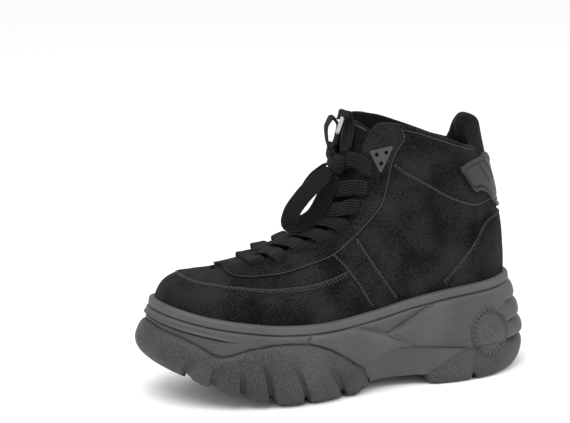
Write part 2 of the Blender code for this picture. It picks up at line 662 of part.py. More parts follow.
def sole_stations():
    """Arc shares that every ring of the sole uses, so that neighbours run parallel."""
    front = np.unique(lug_columns()[1])
    rear = (0.545, 0.566, 0.59, 0.61, 0.63, 0.65, 0.670) + HEEL_FRONT + (
        0.82, 0.85, 0.88, 0.905, 0.925, 0.945, 0.965, 0.985, 1.0)
    return np.concatenate([front, rear])


def make_midsole(where, look):
    s = sole_stations()
    front = np.interp(s, PARTING[:, 0], PARTING[:, 1]) / 1000 + GAP
    back = np.interp(s, HEEL_PARTING[:, 0], HEEL_PARTING[:, 1]) / 1000 + GAP
    arch = np.maximum(ground_z(s), ARCH_HEIGHT)
    low = np.where(s < 0.54, front, np.where(s < HEEL_FRONT[0], arch, back))
    shares = np.array([0.0, 0.14, 0.25, 0.335, 0.42, 0.57, 0.72, 0.80, 1.0])[::-1]
    sides = []
    for side in (LATERAL, MEDIAL):
        x, y = foot(s, side)
        nx, ny = plan_normal(s, side)
        high = rim_z(x) - WELT_HEIGHT - GAP
        z = low[:, None] + (high - low)[:, None] * shares[None]
        wall = sole_point(s[:, None], z, side)
        seat = np.stack([x + nx * SEAT_OUT, y + ny * SEAT_OUT, high], -1)
        lip = np.stack([x + nx * SEAT_OUT, y + ny * SEAT_OUT, rim_z(x) - TUCK - GAP], -1)
        sides.append(np.concatenate([lip[:, None], seat[:, None], wall], axis=1))
    left, right = sides
    under = across(left[:, -1], right[:, -1], [0.5])
    over = across(right[:, 0], left[:, 0], [0.5])
    return section_loft("midsole", left, right, under, over, where, look)


def make_front_outsole(where, look):
    """Lugged front: its columns lean with the grooves up to the groove tops."""
    bottom_s, top_s, deep = lug_columns()
    shares = np.array([0.0, 0.10, 0.25, 0.42, 0.60, 0.80, 1.0])[::-1]
    top_z = np.interp(top_s, PARTING[:, 0], PARTING[:, 1]) / 1000
    low_z = ground_z(bottom_s)
    z = low_z[:, None] + (top_z - low_z)[:, None] * shares[None]
    lean_top = np.minimum(GROOVE_TOP, top_z)[:, None]
    lean = np.clip((z - low_z[:, None]) / (lean_top - low_z[:, None]).clip(0.004), 0, 1)
    s = bottom_s[:, None] + (top_s - bottom_s)[:, None] * lean
    cut = deep[:, None] * np.sqrt(np.clip(1 - lean, 0, 1))
    lift = np.zeros_like(z)
    lift[:, -1] = LUG_GROOVE * deep
    sides = []
    for side in (LATERAL, MEDIAL):
        sides.append(sole_point(s, z + lift, side, -LUG_GROOVE_SIDE * cut))
    left, right = sides
    under = across(left[:, -1], right[:, -1], [0.28, 0.72])
    middle = across(left[:, -1], right[:, -1], [0.5])
    middle[..., 2] -= 0.6 * LUG_GROOVE * deep[:, None]
    under = np.concatenate([under[:, :1], middle, under[:, 1:]], axis=1)
    over = across(right[:, 0], left[:, 0], [0.5])
    return section_loft("outsole_front", left, right, under, over, where, look)


def make_heel_outsole(where, look):
    at = list(HEEL_FRONT)
    deep = [0.0] * 5
    for groove in HEEL_GROOVES:
        at += [groove - 0.009, groove - 0.004, groove + 0.004, groove + 0.009]
        deep += [0.0, 1.0, 1.0, 0.0]
    at += [0.91, 0.93, 0.95, 0.97, 0.985, 1.0]
    deep += [0.0] * 6
    at, deep = np.array(at), np.array(deep)
    top = np.interp(at, HEEL_PARTING[:, 0], HEEL_PARTING[:, 1]) / 1000
    low = ground_z(at)
    shares = np.array([0.0, 0.12, 0.30, 0.55, 0.80, 1.0])[::-1]
    z = low[:, None] + (top - low)[:, None] * shares[None]
    z[:, -1] += 0.6 * LUG_GROOVE * deep
    cut = deep[:, None] * (1 - shares[None]) ** 0.5
    sides = [sole_point(at[:, None], z, side, -0.6 * LUG_GROOVE_SIDE * cut)
             for side in (LATERAL, MEDIAL)]
    left, right = sides
    under = across(left[:, -1], right[:, -1], [0.5])
    over = across(right[:, 0], left[:, 0], [0.5])
    return section_loft("outsole_heel", left, right, under, over, where, look)


def make_roundels(where, look):
    """Plain round relief on each side of the heel, bent to the wall it sits on."""
    rings = ((0.0, 1.3), (0.28, 1.3), (0.36, 0.6), (0.66, 0.6), (0.74, 1.2), (1.0, 1.2))
    turns = 16
    angle = np.linspace(0, 2 * np.pi, turns, endpoint=False)
    grid_s = np.linspace(0.70, 0.98, 113)
    for side, name in ((LATERAL, "roundel_outer"), (MEDIAL, "roundel_inner")):
        line = sole_point(grid_s, ROUNDEL_Z, side)[:, :2]
        run = np.concatenate([[0], np.cumsum(np.linalg.norm(np.diff(line, axis=0), axis=1))])
        run -= np.interp(ROUNDEL_AT, grid_s, run)
        points = []
        high = []
        for radius, lift in rings:
            ds = np.interp(ROUNDEL_RADIUS * radius * np.cos(angle), run, grid_s)
            dz = ROUNDEL_Z + ROUNDEL_RADIUS * radius * np.sin(angle)
            points.append(smooth_wall(ds, dz, side))
            high += [lift / 1000] * turns
        faces = []
        for i in range(len(rings) - 1):
            for j in range(turns):
                k = (j + 1) % turns
                faces.append((i * turns + j, (i + 1) * turns + j, (i + 1) * turns + k, i * turns + k))
        if side == MEDIAL:
            faces = [f[::-1] for f in faces]
        low = 1.5 * GAP
        shell(name, np.concatenate(points), faces, np.array(high) + low, low, where, look)


def smooth_wall(s, z, side):
    """Sole side at its fullest, without grooves: what a relief sits on."""
    x, y = foot(s, side)
    nx, ny = plan_normal(s, side)
    out = sole_out(s, z, side) + ribs(s, z)
    return np.stack([x + nx * out, y + ny * out, z], -1)


LACE_SECTION = ((0.5, 0.0), (0.36, 0.5), (-0.36, 0.5), (-0.5, 0.0), (-0.36, -0.5), (0.36, -0.5))
BAR_SECTION = ((0.5, 0.35), (-0.5, 0.35), (-0.5, -0.5), (0.5, -0.5))


def curve_through(points, count):
    """Evenly spaced points on a smooth curve through the given ones."""
    points = np.asarray(points, float)
    knots = np.concatenate([[0], np.cumsum(np.linalg.norm(np.diff(points, axis=0), axis=1))])
    fine = np.linspace(0, knots[-1], 400)
    line = np.stack([smooth_open(knots, points[:, k], fine) for k in range(3)], -1)
    run = np.concatenate([[0], np.cumsum(np.linalg.norm(np.diff(line, axis=0), axis=1))])
    even = np.linspace(0, run[-1], count)
    return np.stack([np.interp(even, run, line[:, k]) for k in range(3)], -1), run[-1]


def smooth_open(knots, values, at):
    """Cubic through the knots with free ends."""
    slope = np.gradient(values, knots)
    i = np.clip(np.searchsorted(knots, at, side="right") - 1, 0, len(knots) - 2)
    h = knots[i + 1] - knots[i]
    t = (at - knots[i]) / h
    return (
        values[i] * (2 * t**3 - 3 * t**2 + 1)
        + values[i + 1] * (3 * t**2 - 2 * t**3)
        + slope[i] * h * (t**3 - 2 * t**2 + t)
        + slope[i + 1] * h * (t**3 - t**2)
    )


def strip(line, widths, width=LACE_WIDTH, thick=LACE_THICK, section=LACE_SECTION):
    """Flat band along a line; widths are the directions across it."""
    along = np.gradient(line, axis=0)
    along /= np.linalg.norm(along, axis=1, keepdims=True)
    wide = widths - along * np.sum(widths * along, axis=1, keepdims=True)
    wide /= np.linalg.norm(wide, axis=1, keepdims=True)
    up = np.cross(along, wide)
    rows = np.stack([line + wide * width * a + up * thick * b for a, b in section], 1)
    count = len(section)
    faces = []
    for i in range(len(line) - 1):
        for j in range(count):
            k = (j + 1) % count
            faces.append((i * count + j, (i + 1) * count + j, (i + 1) * count + k, i * count + k))
    faces.append(list(range(count)))
    faces.append([(len(line) - 1) * count + j for j in range(count)][::-1])
    return rows.reshape(-1, 3), faces


def lace_rows():
    """Arc shares of the lace rows, evenly spaced along the throat edge."""
    s = np.linspace(0.292, 0.668, 200)
    edge = upper(s, np.full_like(s, 0.94), LATERAL)
    run = np.concatenate([[0], np.cumsum(np.linalg.norm(np.diff(edge, axis=0), axis=1))])
    return np.interp(np.linspace(0, run[-1], LACE_ROWS), run, s)


def crossing(s_from, s_to, start, lift):
    """Line of one lace from a row on one side of the throat over to the next row on the other."""
    other = -start
    line = []
    for v in (0.915, 0.955, 1.0):
        base = upper(s_from, v, start)
        line.append(base + upper_normal(s_from, min(v, 0.99), start) * lift)
    line[-1] = line[-1] + (line[-1] - line[-2]) * 0.25
    far = []
    for v in (0.915, 0.955, 1.0):
        base = upper(s_to, v, other)
        far.append(base + upper_normal(s_to, min(v, 0.99), other) * lift)
    far[-1] = far[-1] + (far[-1] - far[-2]) * 0.25
    rise = (upper_normal(s_from, 0.99, start) + upper_normal(s_to, 0.99, other)) / 2
    middle = (line[-1] + far[-1]) / 2 + rise * 0.05 * np.linalg.norm(line[-1] - far[-1])
    return np.array(line + [middle] + far[::-1])


def make_lacing(where, cutters, look):
    rows = lace_rows()
    base = STAY_GAP + OVERLAY + 3 * GAP + LACE_THICK / 2
    made = []
    for k in range(LACE_ROWS - 1):
        hump = INSTEP_LIFT * np.exp(-(((rows[k] + rows[k + 1]) / 2 - INSTEP_AT) / 0.06) ** 2)
        for start, lift in ((LATERAL, base + hump), (MEDIAL, base + hump + 2 * GAP)):
            line = crossing(rows[k], rows[k + 1], start, lift)
            line, _ = curve_through(line, 6)
            way = upper(rows[k + 1], 1.0, start) - upper(rows[k], 1.0, start)
            points, faces = strip(line, np.broadcast_to(way, line.shape), BAR_WIDTH, section=BAR_SECTION)
            name = f"lace_bar_{k}_{'a' if start == LATERAL else 'b'}"
            made.append(solid(name, points, faces, cutters, look))
    first = made[0]
    lacing = bpy.data.objects.new("lace_crossings", first.data.copy())
    where.objects.link(lacing)
    for other in made[1:]:
        join = lacing.modifiers.new("join", "BOOLEAN")
        join.operation = "UNION"
        join.solver = "EXACT"
        join.object = other
    apply_modifiers(lacing)
    return lacing


def apply_modifiers(item):
    """Replace the mesh by what its modifiers make."""
    graph = bpy.context.evaluated_depsgraph_get()
    mesh = bpy.data.meshes.new_from_object(item.evaluated_get(graph))
    item.modifiers.clear()
    item.data = mesh


def lace_widths(line, axis, turned):
    """Direction across the lace: the axis, or where it is turned so that its broad face looks to LACE_FACE.

    turned is the share of the turn at the start and at the end of the line.
    """
    along = np.gradient(line, axis=0)
    along /= np.linalg.norm(along, axis=1, keepdims=True)
    share = np.linspace(turned[0], turned[1], len(line))[:, None]
    return np.array(axis, float) * (1 - share) + np.cross(along, LACE_FACE) * share


def make_cords(where, look, tip_look):
    for name, route, count, axis, turned in CORDS:
        line, _ = curve_through(LACE_DATUM + route / 1000, count)
        points, faces = strip(line, lace_widths(line, axis, turned))
        solid(name, points, faces, where, look)
    for name, route in (("aglet_top", TOP_END), ("aglet_low", LOW_END)):
        line, _ = curve_through(LACE_DATUM + route / 1000, 60)
        way = line[-1] - line[-4]
        way /= np.linalg.norm(way)
        start = line[-1] + way * GAP
        rod(name, start, start + way * AGLET_LENGTH, AGLET_RADIUS, where, tip_look)


def rod(name, start, end, radius, where, look, turns=10):
    way = (end - start) / np.linalg.norm(end - start)
    one = np.cross(way, (0.0, 1.0, 0.3))
    one /= np.linalg.norm(one)
    two = np.cross(way, one)
    angle = np.linspace(0, 2 * np.pi, turns, endpoint=False)[:, None]
    circle = one * np.cos(angle) + two * np.sin(angle)
    points = np.concatenate([start + circle * radius, end + circle * radius])
    faces = [(j, (j + 1) % turns, (j + 1) % turns + turns, j + turns) for j in range(turns)]
    faces += [list(range(turns)), list(range(turns, 2 * turns))]
    return solid(name, points, faces, where, look)


def make_knot(where, look):
    """Pulled knot: a soft lump, squarer than an egg."""
    turns = 12
    rings = 7
    points = []
    for i in range(rings + 1):
        polar = np.pi * i / rings
        for j in range(turns):
            round_angle = 2 * np.pi * j / turns
            way = np.array([np.sin(polar) * np.cos(round_angle), np.cos(polar),
                            np.sin(polar) * np.sin(round_angle)])
            way = np.sign(way) * np.abs(way) ** 0.8
            points.append(LACE_DATUM + (np.array(KNOT_CENTRE) + way * np.array(KNOT_HALF)) / 1000)
    faces = []
    for i in range(rings):
        for j in range(turns):
            k = (j + 1) % turns
            faces.append((i * turns + j, (i + 1) * turns + j, (i + 1) * turns + k, i * turns + k))
    return solid("lace_knot", points, faces, where, look)


CORDS = (
    ("lace_loop_front", FRONT_LOOP, 22, (0.25, 0.85, 0.20), (1.0, 1.0)),
    ("lace_loop_top", TOP_LOOP, 15, (0.30, 0.95, 0.10), (0.0, 0.0)),
    ("lace_end_top", TOP_END, 13, (-0.30, 0.95, 0.10), (0.0, 0.0)),
    ("lace_end_low", LOW_END, 13, (0.95, 0.20, 0.25), (0.0, 0.0)),
)


def main():
    for item in list(bpy.data.objects):
        bpy.data.objects.remove(item, do_unlink=True)
    boot = collection("platform_boot")
    cutters = collection("platform_boot_workpieces", hidden=True)
    suede = material("black_suede", (0.022, 0.022, 0.023), 0.92)
    lining = material("black_lining", (0.010, 0.010, 0.010), 0.9)
    footbed = material("black_insole", (0.02, 0.02, 0.02), 0.9)
    rim = material("grey_rim_rubber", (0.13, 0.13, 0.13), 0.6)
    smooth_rubber = material("grey_smooth_rubber", (0.12, 0.12, 0.12), 0.6)
    tread = material("grey_tread_rubber", (0.08, 0.078, 0.078), 0.8)
    trim = material("grey_trim_rubber", (0.065, 0.062, 0.063), 0.55)
    lace = material("black_lace", (0.025, 0.025, 0.025), 0.9)
    tip = material("clear_lace_tip", (0.45, 0.45, 0.45), 0.4)
    make_front_outsole(boot, tread)
    make_heel_outsole(boot, tread)
    make_midsole(boot, smooth_rubber)
    make_welt(boot, rim)
    make_insole(boot, footbed)
    make_upper(boot, suede)
    make_overlays(boot, suede)
    make_trims(boot, trim)
    make_roundels(boot, smooth_rubber)
    make_tongue(boot, lining)
    make_lacing(boot, cutters, lace)
    make_knot(boot, lace)
    make_cords(boot, lace, tip)
    for item in list(cutters.objects):
        bpy.data.objects.remove(item, do_unlink=True)
    bpy.data.collections.remove(cutters)


main()
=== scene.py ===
"""Dresses the platform boot's solids: suede, seams, moulded sole, knitted laces and the picture's stage."""

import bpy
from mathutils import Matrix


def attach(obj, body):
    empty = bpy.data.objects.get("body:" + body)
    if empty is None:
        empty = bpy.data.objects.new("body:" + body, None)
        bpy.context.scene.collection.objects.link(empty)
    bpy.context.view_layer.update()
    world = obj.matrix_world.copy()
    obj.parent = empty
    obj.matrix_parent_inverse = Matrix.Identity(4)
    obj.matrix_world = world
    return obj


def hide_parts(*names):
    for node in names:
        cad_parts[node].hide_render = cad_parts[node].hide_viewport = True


bl_info = {
    "name": "Platform Boot",
    "version": (1, 0, 0),
    "blender": (4, 5, 0),
    "location": "View3D > Sidebar > Boot",
    "description": "Builds the visible pieces of a black suede platform boot",
    "category": "Object",
}

import bmesh
import bpy
import numpy as np
from mathutils import Quaternion, Vector

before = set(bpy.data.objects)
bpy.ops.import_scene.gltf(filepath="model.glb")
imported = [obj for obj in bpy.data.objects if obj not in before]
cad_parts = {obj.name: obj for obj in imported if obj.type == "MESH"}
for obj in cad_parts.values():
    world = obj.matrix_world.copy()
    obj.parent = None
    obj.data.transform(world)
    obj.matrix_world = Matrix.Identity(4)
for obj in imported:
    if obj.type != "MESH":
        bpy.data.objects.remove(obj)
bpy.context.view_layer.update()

# main sizes
UPPER_LENGTH = 0.2615
BALL_WIDTH = 0.089
SOLE_FORE = 0.0570
TOE_RISE = 0.0165
HEEL_RISE = 0.0133
SHAFT_BASE = 0.0556
SHAFT_HEIGHT = 0.1325
HEEL_BACK_X = 0.13025
CENTRE_Y = 0.0030

# upper
WALL = 0.0020
COLLAR_PAD = 0.0026
TAB_PAD = 0.0034
TUCK = 0.0030
TAB_HEIGHT = 0.0225
TAB_HALF = 0.0205
LEAN = 1.6
THROAT_START = 0.270
POLE_SHARE = 0.143

# fits and layers: gap between neighbours, thickness of an overlay, gap under the lace stay
GAP = 0.0003
OVERLAY = 0.0011
STAY_GAP = 0.0007

# sole
WELT_HEIGHT = 0.0088
SEAT_OUT = 0.0002
RIB_DEPTH = 0.0034

# heel roundel
ROUNDEL_AT = 0.850
ROUNDEL_Z = 0.0345
ROUNDEL_RADIUS = 0.0175

# laces
LACE_WIDTH = 0.0088
BAR_WIDTH = 0.0102
LACE_THICK = 0.0017
LACE_ROWS = 8
INSTEP_AT = 0.560
INSTEP_LIFT = 0.0024
AGLET_LENGTH = 0.0130
AGLET_RADIUS = 0.0015

TOE_X = HEEL_BACK_X - UPPER_LENGTH
HALF_BALL = BALL_WIDTH / 2
LATERAL = -1.0
MEDIAL = 1.0
SIDES = (LATERAL, MEDIAL)

# rim height along the foot: length share, share of TOE_RISE, share of HEEL_RISE
RIM = np.array([
    (-0.06, 1.00, 0.00),
    (0.00, 0.88, 0.00),
    (0.03, 0.76, 0.00),
    (0.08, 0.56, 0.00),
    (0.16, 0.32, 0.00),
    (0.26, 0.10, 0.00),
    (0.40, 0.00, 0.00),
    (0.55, 0.00, 0.22),
    (0.65, 0.00, 0.52),
    (0.77, 0.00, 0.80),
    (0.87, 0.00, 0.95),
    (0.95, 0.00, 1.00),
    (1.06, 0.00, 1.02),
])

# upper sections: foot and top line as shares of UPPER_LENGTH, HALF_BALL and SHAFT_HEIGHT
SECTION_COLUMNS = (
    "at", "foot_x", "foot_half", "centre", "top_x", "top_half", "top_z", "arch", "fan", "belly",
)
SECTIONS = np.array([
    (0.000, 0.000, 0.000, 0.120, 0.150, 0.000, 0.262, 1.00, 1.0, 0.000),
    (0.048, 0.010, 0.320, 0.100, 0.150, 0.000, 0.262, 1.00, 1.0, 0.000),
    (0.094, 0.040, 0.585, 0.060, 0.150, 0.000, 0.262, 1.00, 1.0, 0.000),
    (0.143, 0.088, 0.770, 0.010, 0.150, 0.000, 0.262, 1.00, 1.0, 0.000),
    (0.200, 0.150, 0.895, -0.030, 0.168, 0.000, 0.266, 1.00, 0.8, 0.000),
    (0.270, 0.225, 0.975, -0.055, 0.232, 0.000, 0.280, 1.00, 0.3, 0.000),
    (0.337, 0.300, 1.000, -0.070, 0.290, 0.220, 0.308, 1.00, 0.0, 0.010),
    (0.411, 0.383, 0.940, -0.095, 0.372, 0.270, 0.364, 0.98, 0.0, 0.012),
    (0.487, 0.470, 0.840, -0.105, 0.445, 0.320, 0.428, 0.92, 0.0, 0.014),
    (0.566, 0.560, 0.755, -0.095, 0.495, 0.370, 0.512, 0.80, 0.0, 0.016),
    (0.610, 0.612, 0.725, -0.085, 0.515, 0.420, 0.640, 0.60, 0.0, 0.018),
    (0.650, 0.660, 0.710, -0.070, 0.527, 0.465, 0.770, 0.42, 0.0, 0.020),
    (0.693, 0.707, 0.706, -0.060, 0.540, 0.510, 0.900, 0.28, 0.0, 0.020),
    (0.735, 0.753, 0.706, -0.045, 0.575, 0.555, 1.000, 0.16, 0.0, 0.018),
    (0.775, 0.796, 0.708, -0.035, 0.655, 0.635, 0.985, 0.10, 0.1, 0.014),
    (0.812, 0.840, 0.700, -0.028, 0.732, 0.660, 0.935, 0.05, 0.3, 0.012),
    (0.850, 0.882, 0.665, -0.022, 0.800, 0.640, 0.885, 0.00, 0.6, 0.015),
    (0.885, 0.915, 0.590, -0.018, 0.838, 0.575, 0.858, 0.00, 0.9, 0.020),
    (0.920, 0.952, 0.450, -0.010, 0.876, 0.455, 0.842, 0.00, 1.0, 0.026),
    (0.960, 0.985, 0.260, -0.004, 0.904, 0.240, 0.832, 0.00, 1.0, 0.028),
    (1.000, 1.000, 0.000, 0.000, 0.914, 0.000, 0.828, 0.00, 1.0, 0.028),
])
ODD_COLUMNS = ("foot_half", "top_half")

# sole wall: outward offset in mm at height shares of the sole, a row for each arc share
WALL_SHARES = np.array([0.00, 0.06, 0.20, 0.38, 0.56, 0.72, 0.86, 1.00])
SOLE_WALL = np.array([
    (0.00, 6.0, 9.5, 14.5, 16.5, 13.5, 9.5, 6.2, 4.8),
    (0.05, 5.0, 8.0, 13.0, 14.5, 12.0, 9.0, 6.4, 4.8),
    (0.12, 3.5, 6.5, 10.5, 11.5, 9.8, 8.0, 6.6, 4.8),
    (0.22, 2.5, 5.0, 9.0, 10.0, 9.2, 7.8, 6.8, 4.8),
    (0.45, 2.0, 4.5, 8.5, 9.5, 9.0, 7.8, 6.8, 4.8),
    (0.53, 2.5, 3.5, 5.5, 8.5, 9.0, 7.8, 6.8, 4.8),
    (0.60, 2.5, 3.0, 5.0, 8.5, 9.0, 7.6, 6.4, 4.8),
    (0.67, 6.0, 7.0, 8.0, 9.5, 9.0, 7.4, 6.2, 4.8),
    (0.75, 10.0, 11.5, 11.0, 10.5, 9.0, 7.2, 6.0, 4.8),
    (0.85, 10.0, 12.0, 12.2, 11.5, 9.8, 8.0, 6.0, 4.8),
    (0.93, 9.5, 12.5, 15.0, 14.0, 11.5, 9.0, 6.4, 4.8),
    (1.00, 9.0, 12.5, 17.0, 16.0, 13.0, 10.0, 6.6, 4.8),
])

# under edge of the whole sole: arc share, height in mm
GROUND_LINE = np.array([
    (0.000, 29.0), (0.050, 26.0), (0.090, 22.5), (0.130, 17.0), (0.190, 10.5), (0.260, 4.8),
    (0.320, 1.2), (0.365, 0.0), (0.500, 0.0), (0.535, 3.5), (0.560, 8.5), (0.660, 8.0),
    (0.684, 0.0), (1.000, 0.0),
])

# line where the lugged front outsole meets the smooth midsole: arc share, height in mm
PARTING = np.array([
    (0.000, 57.5), (0.020, 57.0), (0.058, 54.5), (0.090, 52.0), (0.118, 48.0), (0.150, 41.5),
    (0.166, 39.8), (0.182, 40.3), (0.224, 44.0), (0.278, 46.0), (0.318, 46.0), (0.366, 44.5),
    (0.388, 42.5), (0.420, 38.5), (0.456, 31.5), (0.490, 24.0), (0.508, 21.5), (0.535, 10.5),
])
HEEL_PARTING = np.array([
    (0.684, 9.0), (0.710, 12.5), (0.750, 19.0), (0.788, 24.0), (0.850, 24.0), (1.000, 23.5),
])

# panel edges on the side of the midsole: arc share, height in mm
ARCH_TOP = np.array([(0.370, 48.0), (0.384, 51.5), (0.490, 51.0), (0.582, 42.0), (0.648, 30.0)])
ARCH_LOW = np.array([(0.508, 22.5), (0.548, 26.0), (0.602, 30.0), (0.648, 30.0), (0.788, 25.5)])
PANEL_TOP = np.array([(0.575, 42.0), (0.640, 50.0), (0.704, 58.5), (0.760, 66.0)])
PANEL_LOW = np.array([(0.575, 42.0), (0.648, 30.0), (0.788, 25.5), (1.000, 25.5)])

# front lug grooves: arc share at the ground edge, arc share at their top, top height in mm
LUG_GROOVES = np.array([
    (0.096, 0.104, 40.0),
    (0.147, 0.157, 33.0),
    (0.213, 0.208, 30.0),
    (0.282, 0.260, 34.0),
    (0.368, 0.330, 31.0),
    (0.468, 0.408, 33.0),
])
# heel lug: arc shares of its grooves, arc shares round its front end
HEEL_GROOVES = (0.812,)
HEEL_FRONT = (0.688, 0.705, 0.730, 0.760, 0.788)
ARCH_HEIGHT = 0.0082
RIB_GROOVES_Z = (0.0505, 0.0365)

# overlay edges on the upper: arc share, height share
GUARD_EDGE = np.array([
    (0.000, 0.635), (0.050, 0.615), (0.090, 0.587), (0.145, 0.573), (0.208, 0.522), (0.265, 0.465),
    (0.345, 0.427), (0.390, 0.392), (0.443, 0.38), (0.520, 0.39),
])
STAY_EDGE = np.array([
    (0.198, 0.96), (0.202, 0.83), (0.214, 0.725), (0.245, 0.665), (0.305, 0.640), (0.370, 0.630),
    (0.455, 0.61), (0.560, 0.66), (0.620, 0.62), (0.680, 0.62), (0.705, 0.67), (0.735, 0.77),
    (0.764, 0.90),
])
BAND_EDGES = np.array([
    (0.00, 0.558, 0.626), (0.30, 0.514, 0.587), (0.45, 0.490, 0.573), (0.70, 0.455, 0.555),
])
COUNTER_EDGE = np.array([
    (0.752, 0.055), (0.782, 0.11), (0.828, 0.24), (0.863, 0.36), (0.905, 0.455), (0.930, 0.485),
    (1.000, 0.485),
])
PATCH_EDGES = np.array([
    (0.841, 0.782, 0.808), (0.863, 0.648, 0.862), (0.887, 0.666, 0.890), (0.902, 0.645, 0.903),
    (0.915, 0.595, 0.912), (0.941, 0.532, 0.890), (0.965, 0.518, 0.850), (1.000, 0.515, 0.835),
])
# corners of a lace plate: arc share, height share
PLATE_CORNERS = np.array([(0.694, 0.930), (0.744, 0.852), (0.697, 0.758)])

# lace routes from this point of the throat, mm: x, y, z
LACE_DATUM = np.array([0.00155, 0.0012, 0.0])
FRONT_LOOP = np.array([
    (-14.0, -13.0, 156.6), (-23.0, -14.0, 149.5), (-34.5, -13.0, 138.5), (-42.0, -11.0, 126.5),
    (-42.0, -8.5, 119.8), (-33.5, -6.5, 118.0), (-23.0, -6.0, 122.5), (-16.5, -8.0, 133.5),
    (-12.0, -9.5, 144.0), (-9.5, -10.5, 152.5),
])
TOP_LOOP = np.array([
    (-11.0, -8.5, 167.6), (-12.0, -4.0, 176.5), (-9.8, 0.0, 186.0), (-5.2, 1.5, 190.0),
    (-1.6, 0.8, 185.5), (-3.2, -0.5, 176.5), (-7.2, -2.5, 168.2),
])
TOP_END = np.array([
    (-2.6, -13.5, 168.4), (0.8, -10.0, 175.5), (3.8, -6.5, 184.0), (3.6, -5.5, 191.5),
    (-0.2, -8.5, 195.5), (-3.6, -11.5, 191.5),
])
LOW_END = np.array([
    (-11.5, 0.2, 157.5), (-15.0, 8.0, 151.0), (-18.5, 15.5, 141.0), (-21.0, 21.5, 129.5),
    (-22.5, 26.5, 118.0), (-23.0, 31.0, 107.0),
])
# direction that the loose laces' broad face looks to
LACE_FACE = (-0.38, -0.90, 0.22)
KNOT_CENTRE = (-7.4, -10.0, 160.0)
KNOT_HALF = (5.8, 9.0, 6.4)

# loose laces: node, route, direction across, share of its turn to LACE_FACE at both ends
CORDS = (
    ("lace_loop_front", FRONT_LOOP, (0.25, 0.85, 0.20), (1.0, 1.0)),
    ("lace_loop_top", TOP_LOOP, (0.30, 0.95, 0.10), (0.0, 0.0)),
    ("lace_end_top", TOP_END, (-0.30, 0.95, 0.10), (0.0, 0.0)),
    ("lace_end_low", LOW_END, (0.95, 0.20, 0.25), (0.0, 0.0)),
)

# dressing: what the scene adds to the solids
WELD = 2e-6
# mm to one arc share, and to one height share at the shaft and at the vamp
AROUND_MM = 300.0
SHAFT_MM = 120.0
VAMP_MM = 85.0
# underside of a suede panel against the upper; it lies just inside, so no light shows between
SHEET_LOW = -0.0004
EDGE_RADIUS = 0.00026
STITCH_LIFT = 0.0014
STITCH_SHARE = 0.62
GUARD_END = 0.482
LINING_ROLL = (0.905, 0.80)
TREAD_END = 0.535
TREAD_GAP = 0.0002
TREAD_CHANNEL = 0.0022
TONGUE = (0.300, 0.712)
TOP_RIB_Z = 0.0640
LUG_EDGE = 0.0032
ROLL_PAD = 0.0085
EYELET_V = np.array([0.865, 0.855, 0.845, 0.840, 0.832, 0.822, 0.810, 0.842])
BAR_SLANT = np.array([0.0, 0.0, 0.03, 0.09, 0.20, 0.27, 0.28, 0.16])
BAR_UNDER = 0.0022
PLATE_CORNER = 0.0020
PLATE_HOLE = 0.0018
ROUNDEL_DOTS = 30
WAVE_TURN = 0.31416
LACE_RIB_MM = 1.9
LACE_STITCH_MM = 1.9
CAMERA_AIM = (-0.03945, 0.0030, 0.126)

# seam below the padded collar: arc share, height share
ANKLE_SEAM = np.array([
    (0.733, 0.740), (0.745, 0.690), (0.777, 0.625), (0.800, 0.585), (0.830, 0.562), (0.865, 0.560),
    (0.910, 0.590), (0.955, 0.600), (1.000, 0.600),
])
COLLAR_LINE = np.array([(0.768, 0.962), (0.800, 0.962), (0.850, 0.962), (0.900, 0.960), (0.925, 0.955)])
THROAT_LINE = np.array([(0.285, 0.955), (0.400, 0.962), (0.560, 0.968), (0.650, 0.972), (0.735, 0.972)])
STAY_END = np.array([(0.764, 0.905), (0.765, 0.940), (0.765, 0.975)])

# soft folds: from and to (arc share, height share), depth share, half width in mm
FOLDS = (
    (0.895, 0.455, 0.800, 0.330, 1.00, 6.0),
    (0.722, 0.630, 0.742, 0.600, 0.90, 7.0),
    (0.700, 0.500, 0.790, 0.420, 0.40, 5.0),
    (0.660, 0.430, 0.740, 0.330, 0.35, 5.0),
    (0.500, 0.300, 0.540, 0.420, 0.35, 5.0),
)

# lines on the side of the sole: arc share, height in mm
ARCH_FRONT = np.array([(0.362, 44.8), (0.372, 48.5), (0.384, 51.5)])
TOE_RIDGE = np.array([(0.00, 60.5), (0.06, 58.5), (0.12, 54.5), (0.20, 49.0), (1.00, 49.0)])

# rim section in mm: outward, down from its top
RIM_PROFILE = np.array([
    (0.6, 8.8), (0.6, 5.0), (0.6, 1.6), (0.9, 0.5), (1.9, 0.0), (3.3, 0.1), (4.6, 0.8), (5.2, 1.9),
    (5.4, 3.4), (5.6, 4.8), (5.5, 5.7), (5.0, 6.2), (3.6, 6.6), (5.0, 7.0), (5.6, 7.6), (5.6, 8.8),
])

# the lug grooves lean forward: arc share at the ground, arc share at their top
LEAN_FROM = np.array([0, .030, .066, .096, .147, .213, .282, .368, .468, .496, .515, .535])
LEAN_TO = np.array([0, .030, .074, .116, .158, .208, .260, .330, .408, .464, .500, .535])

# slots in the heel patch, each a line of (arc share, height share)
PATCH_SLOTS = (((0.898, 0.850), (0.919, 0.728)), ((0.919, 0.872), (0.944, 0.745)))

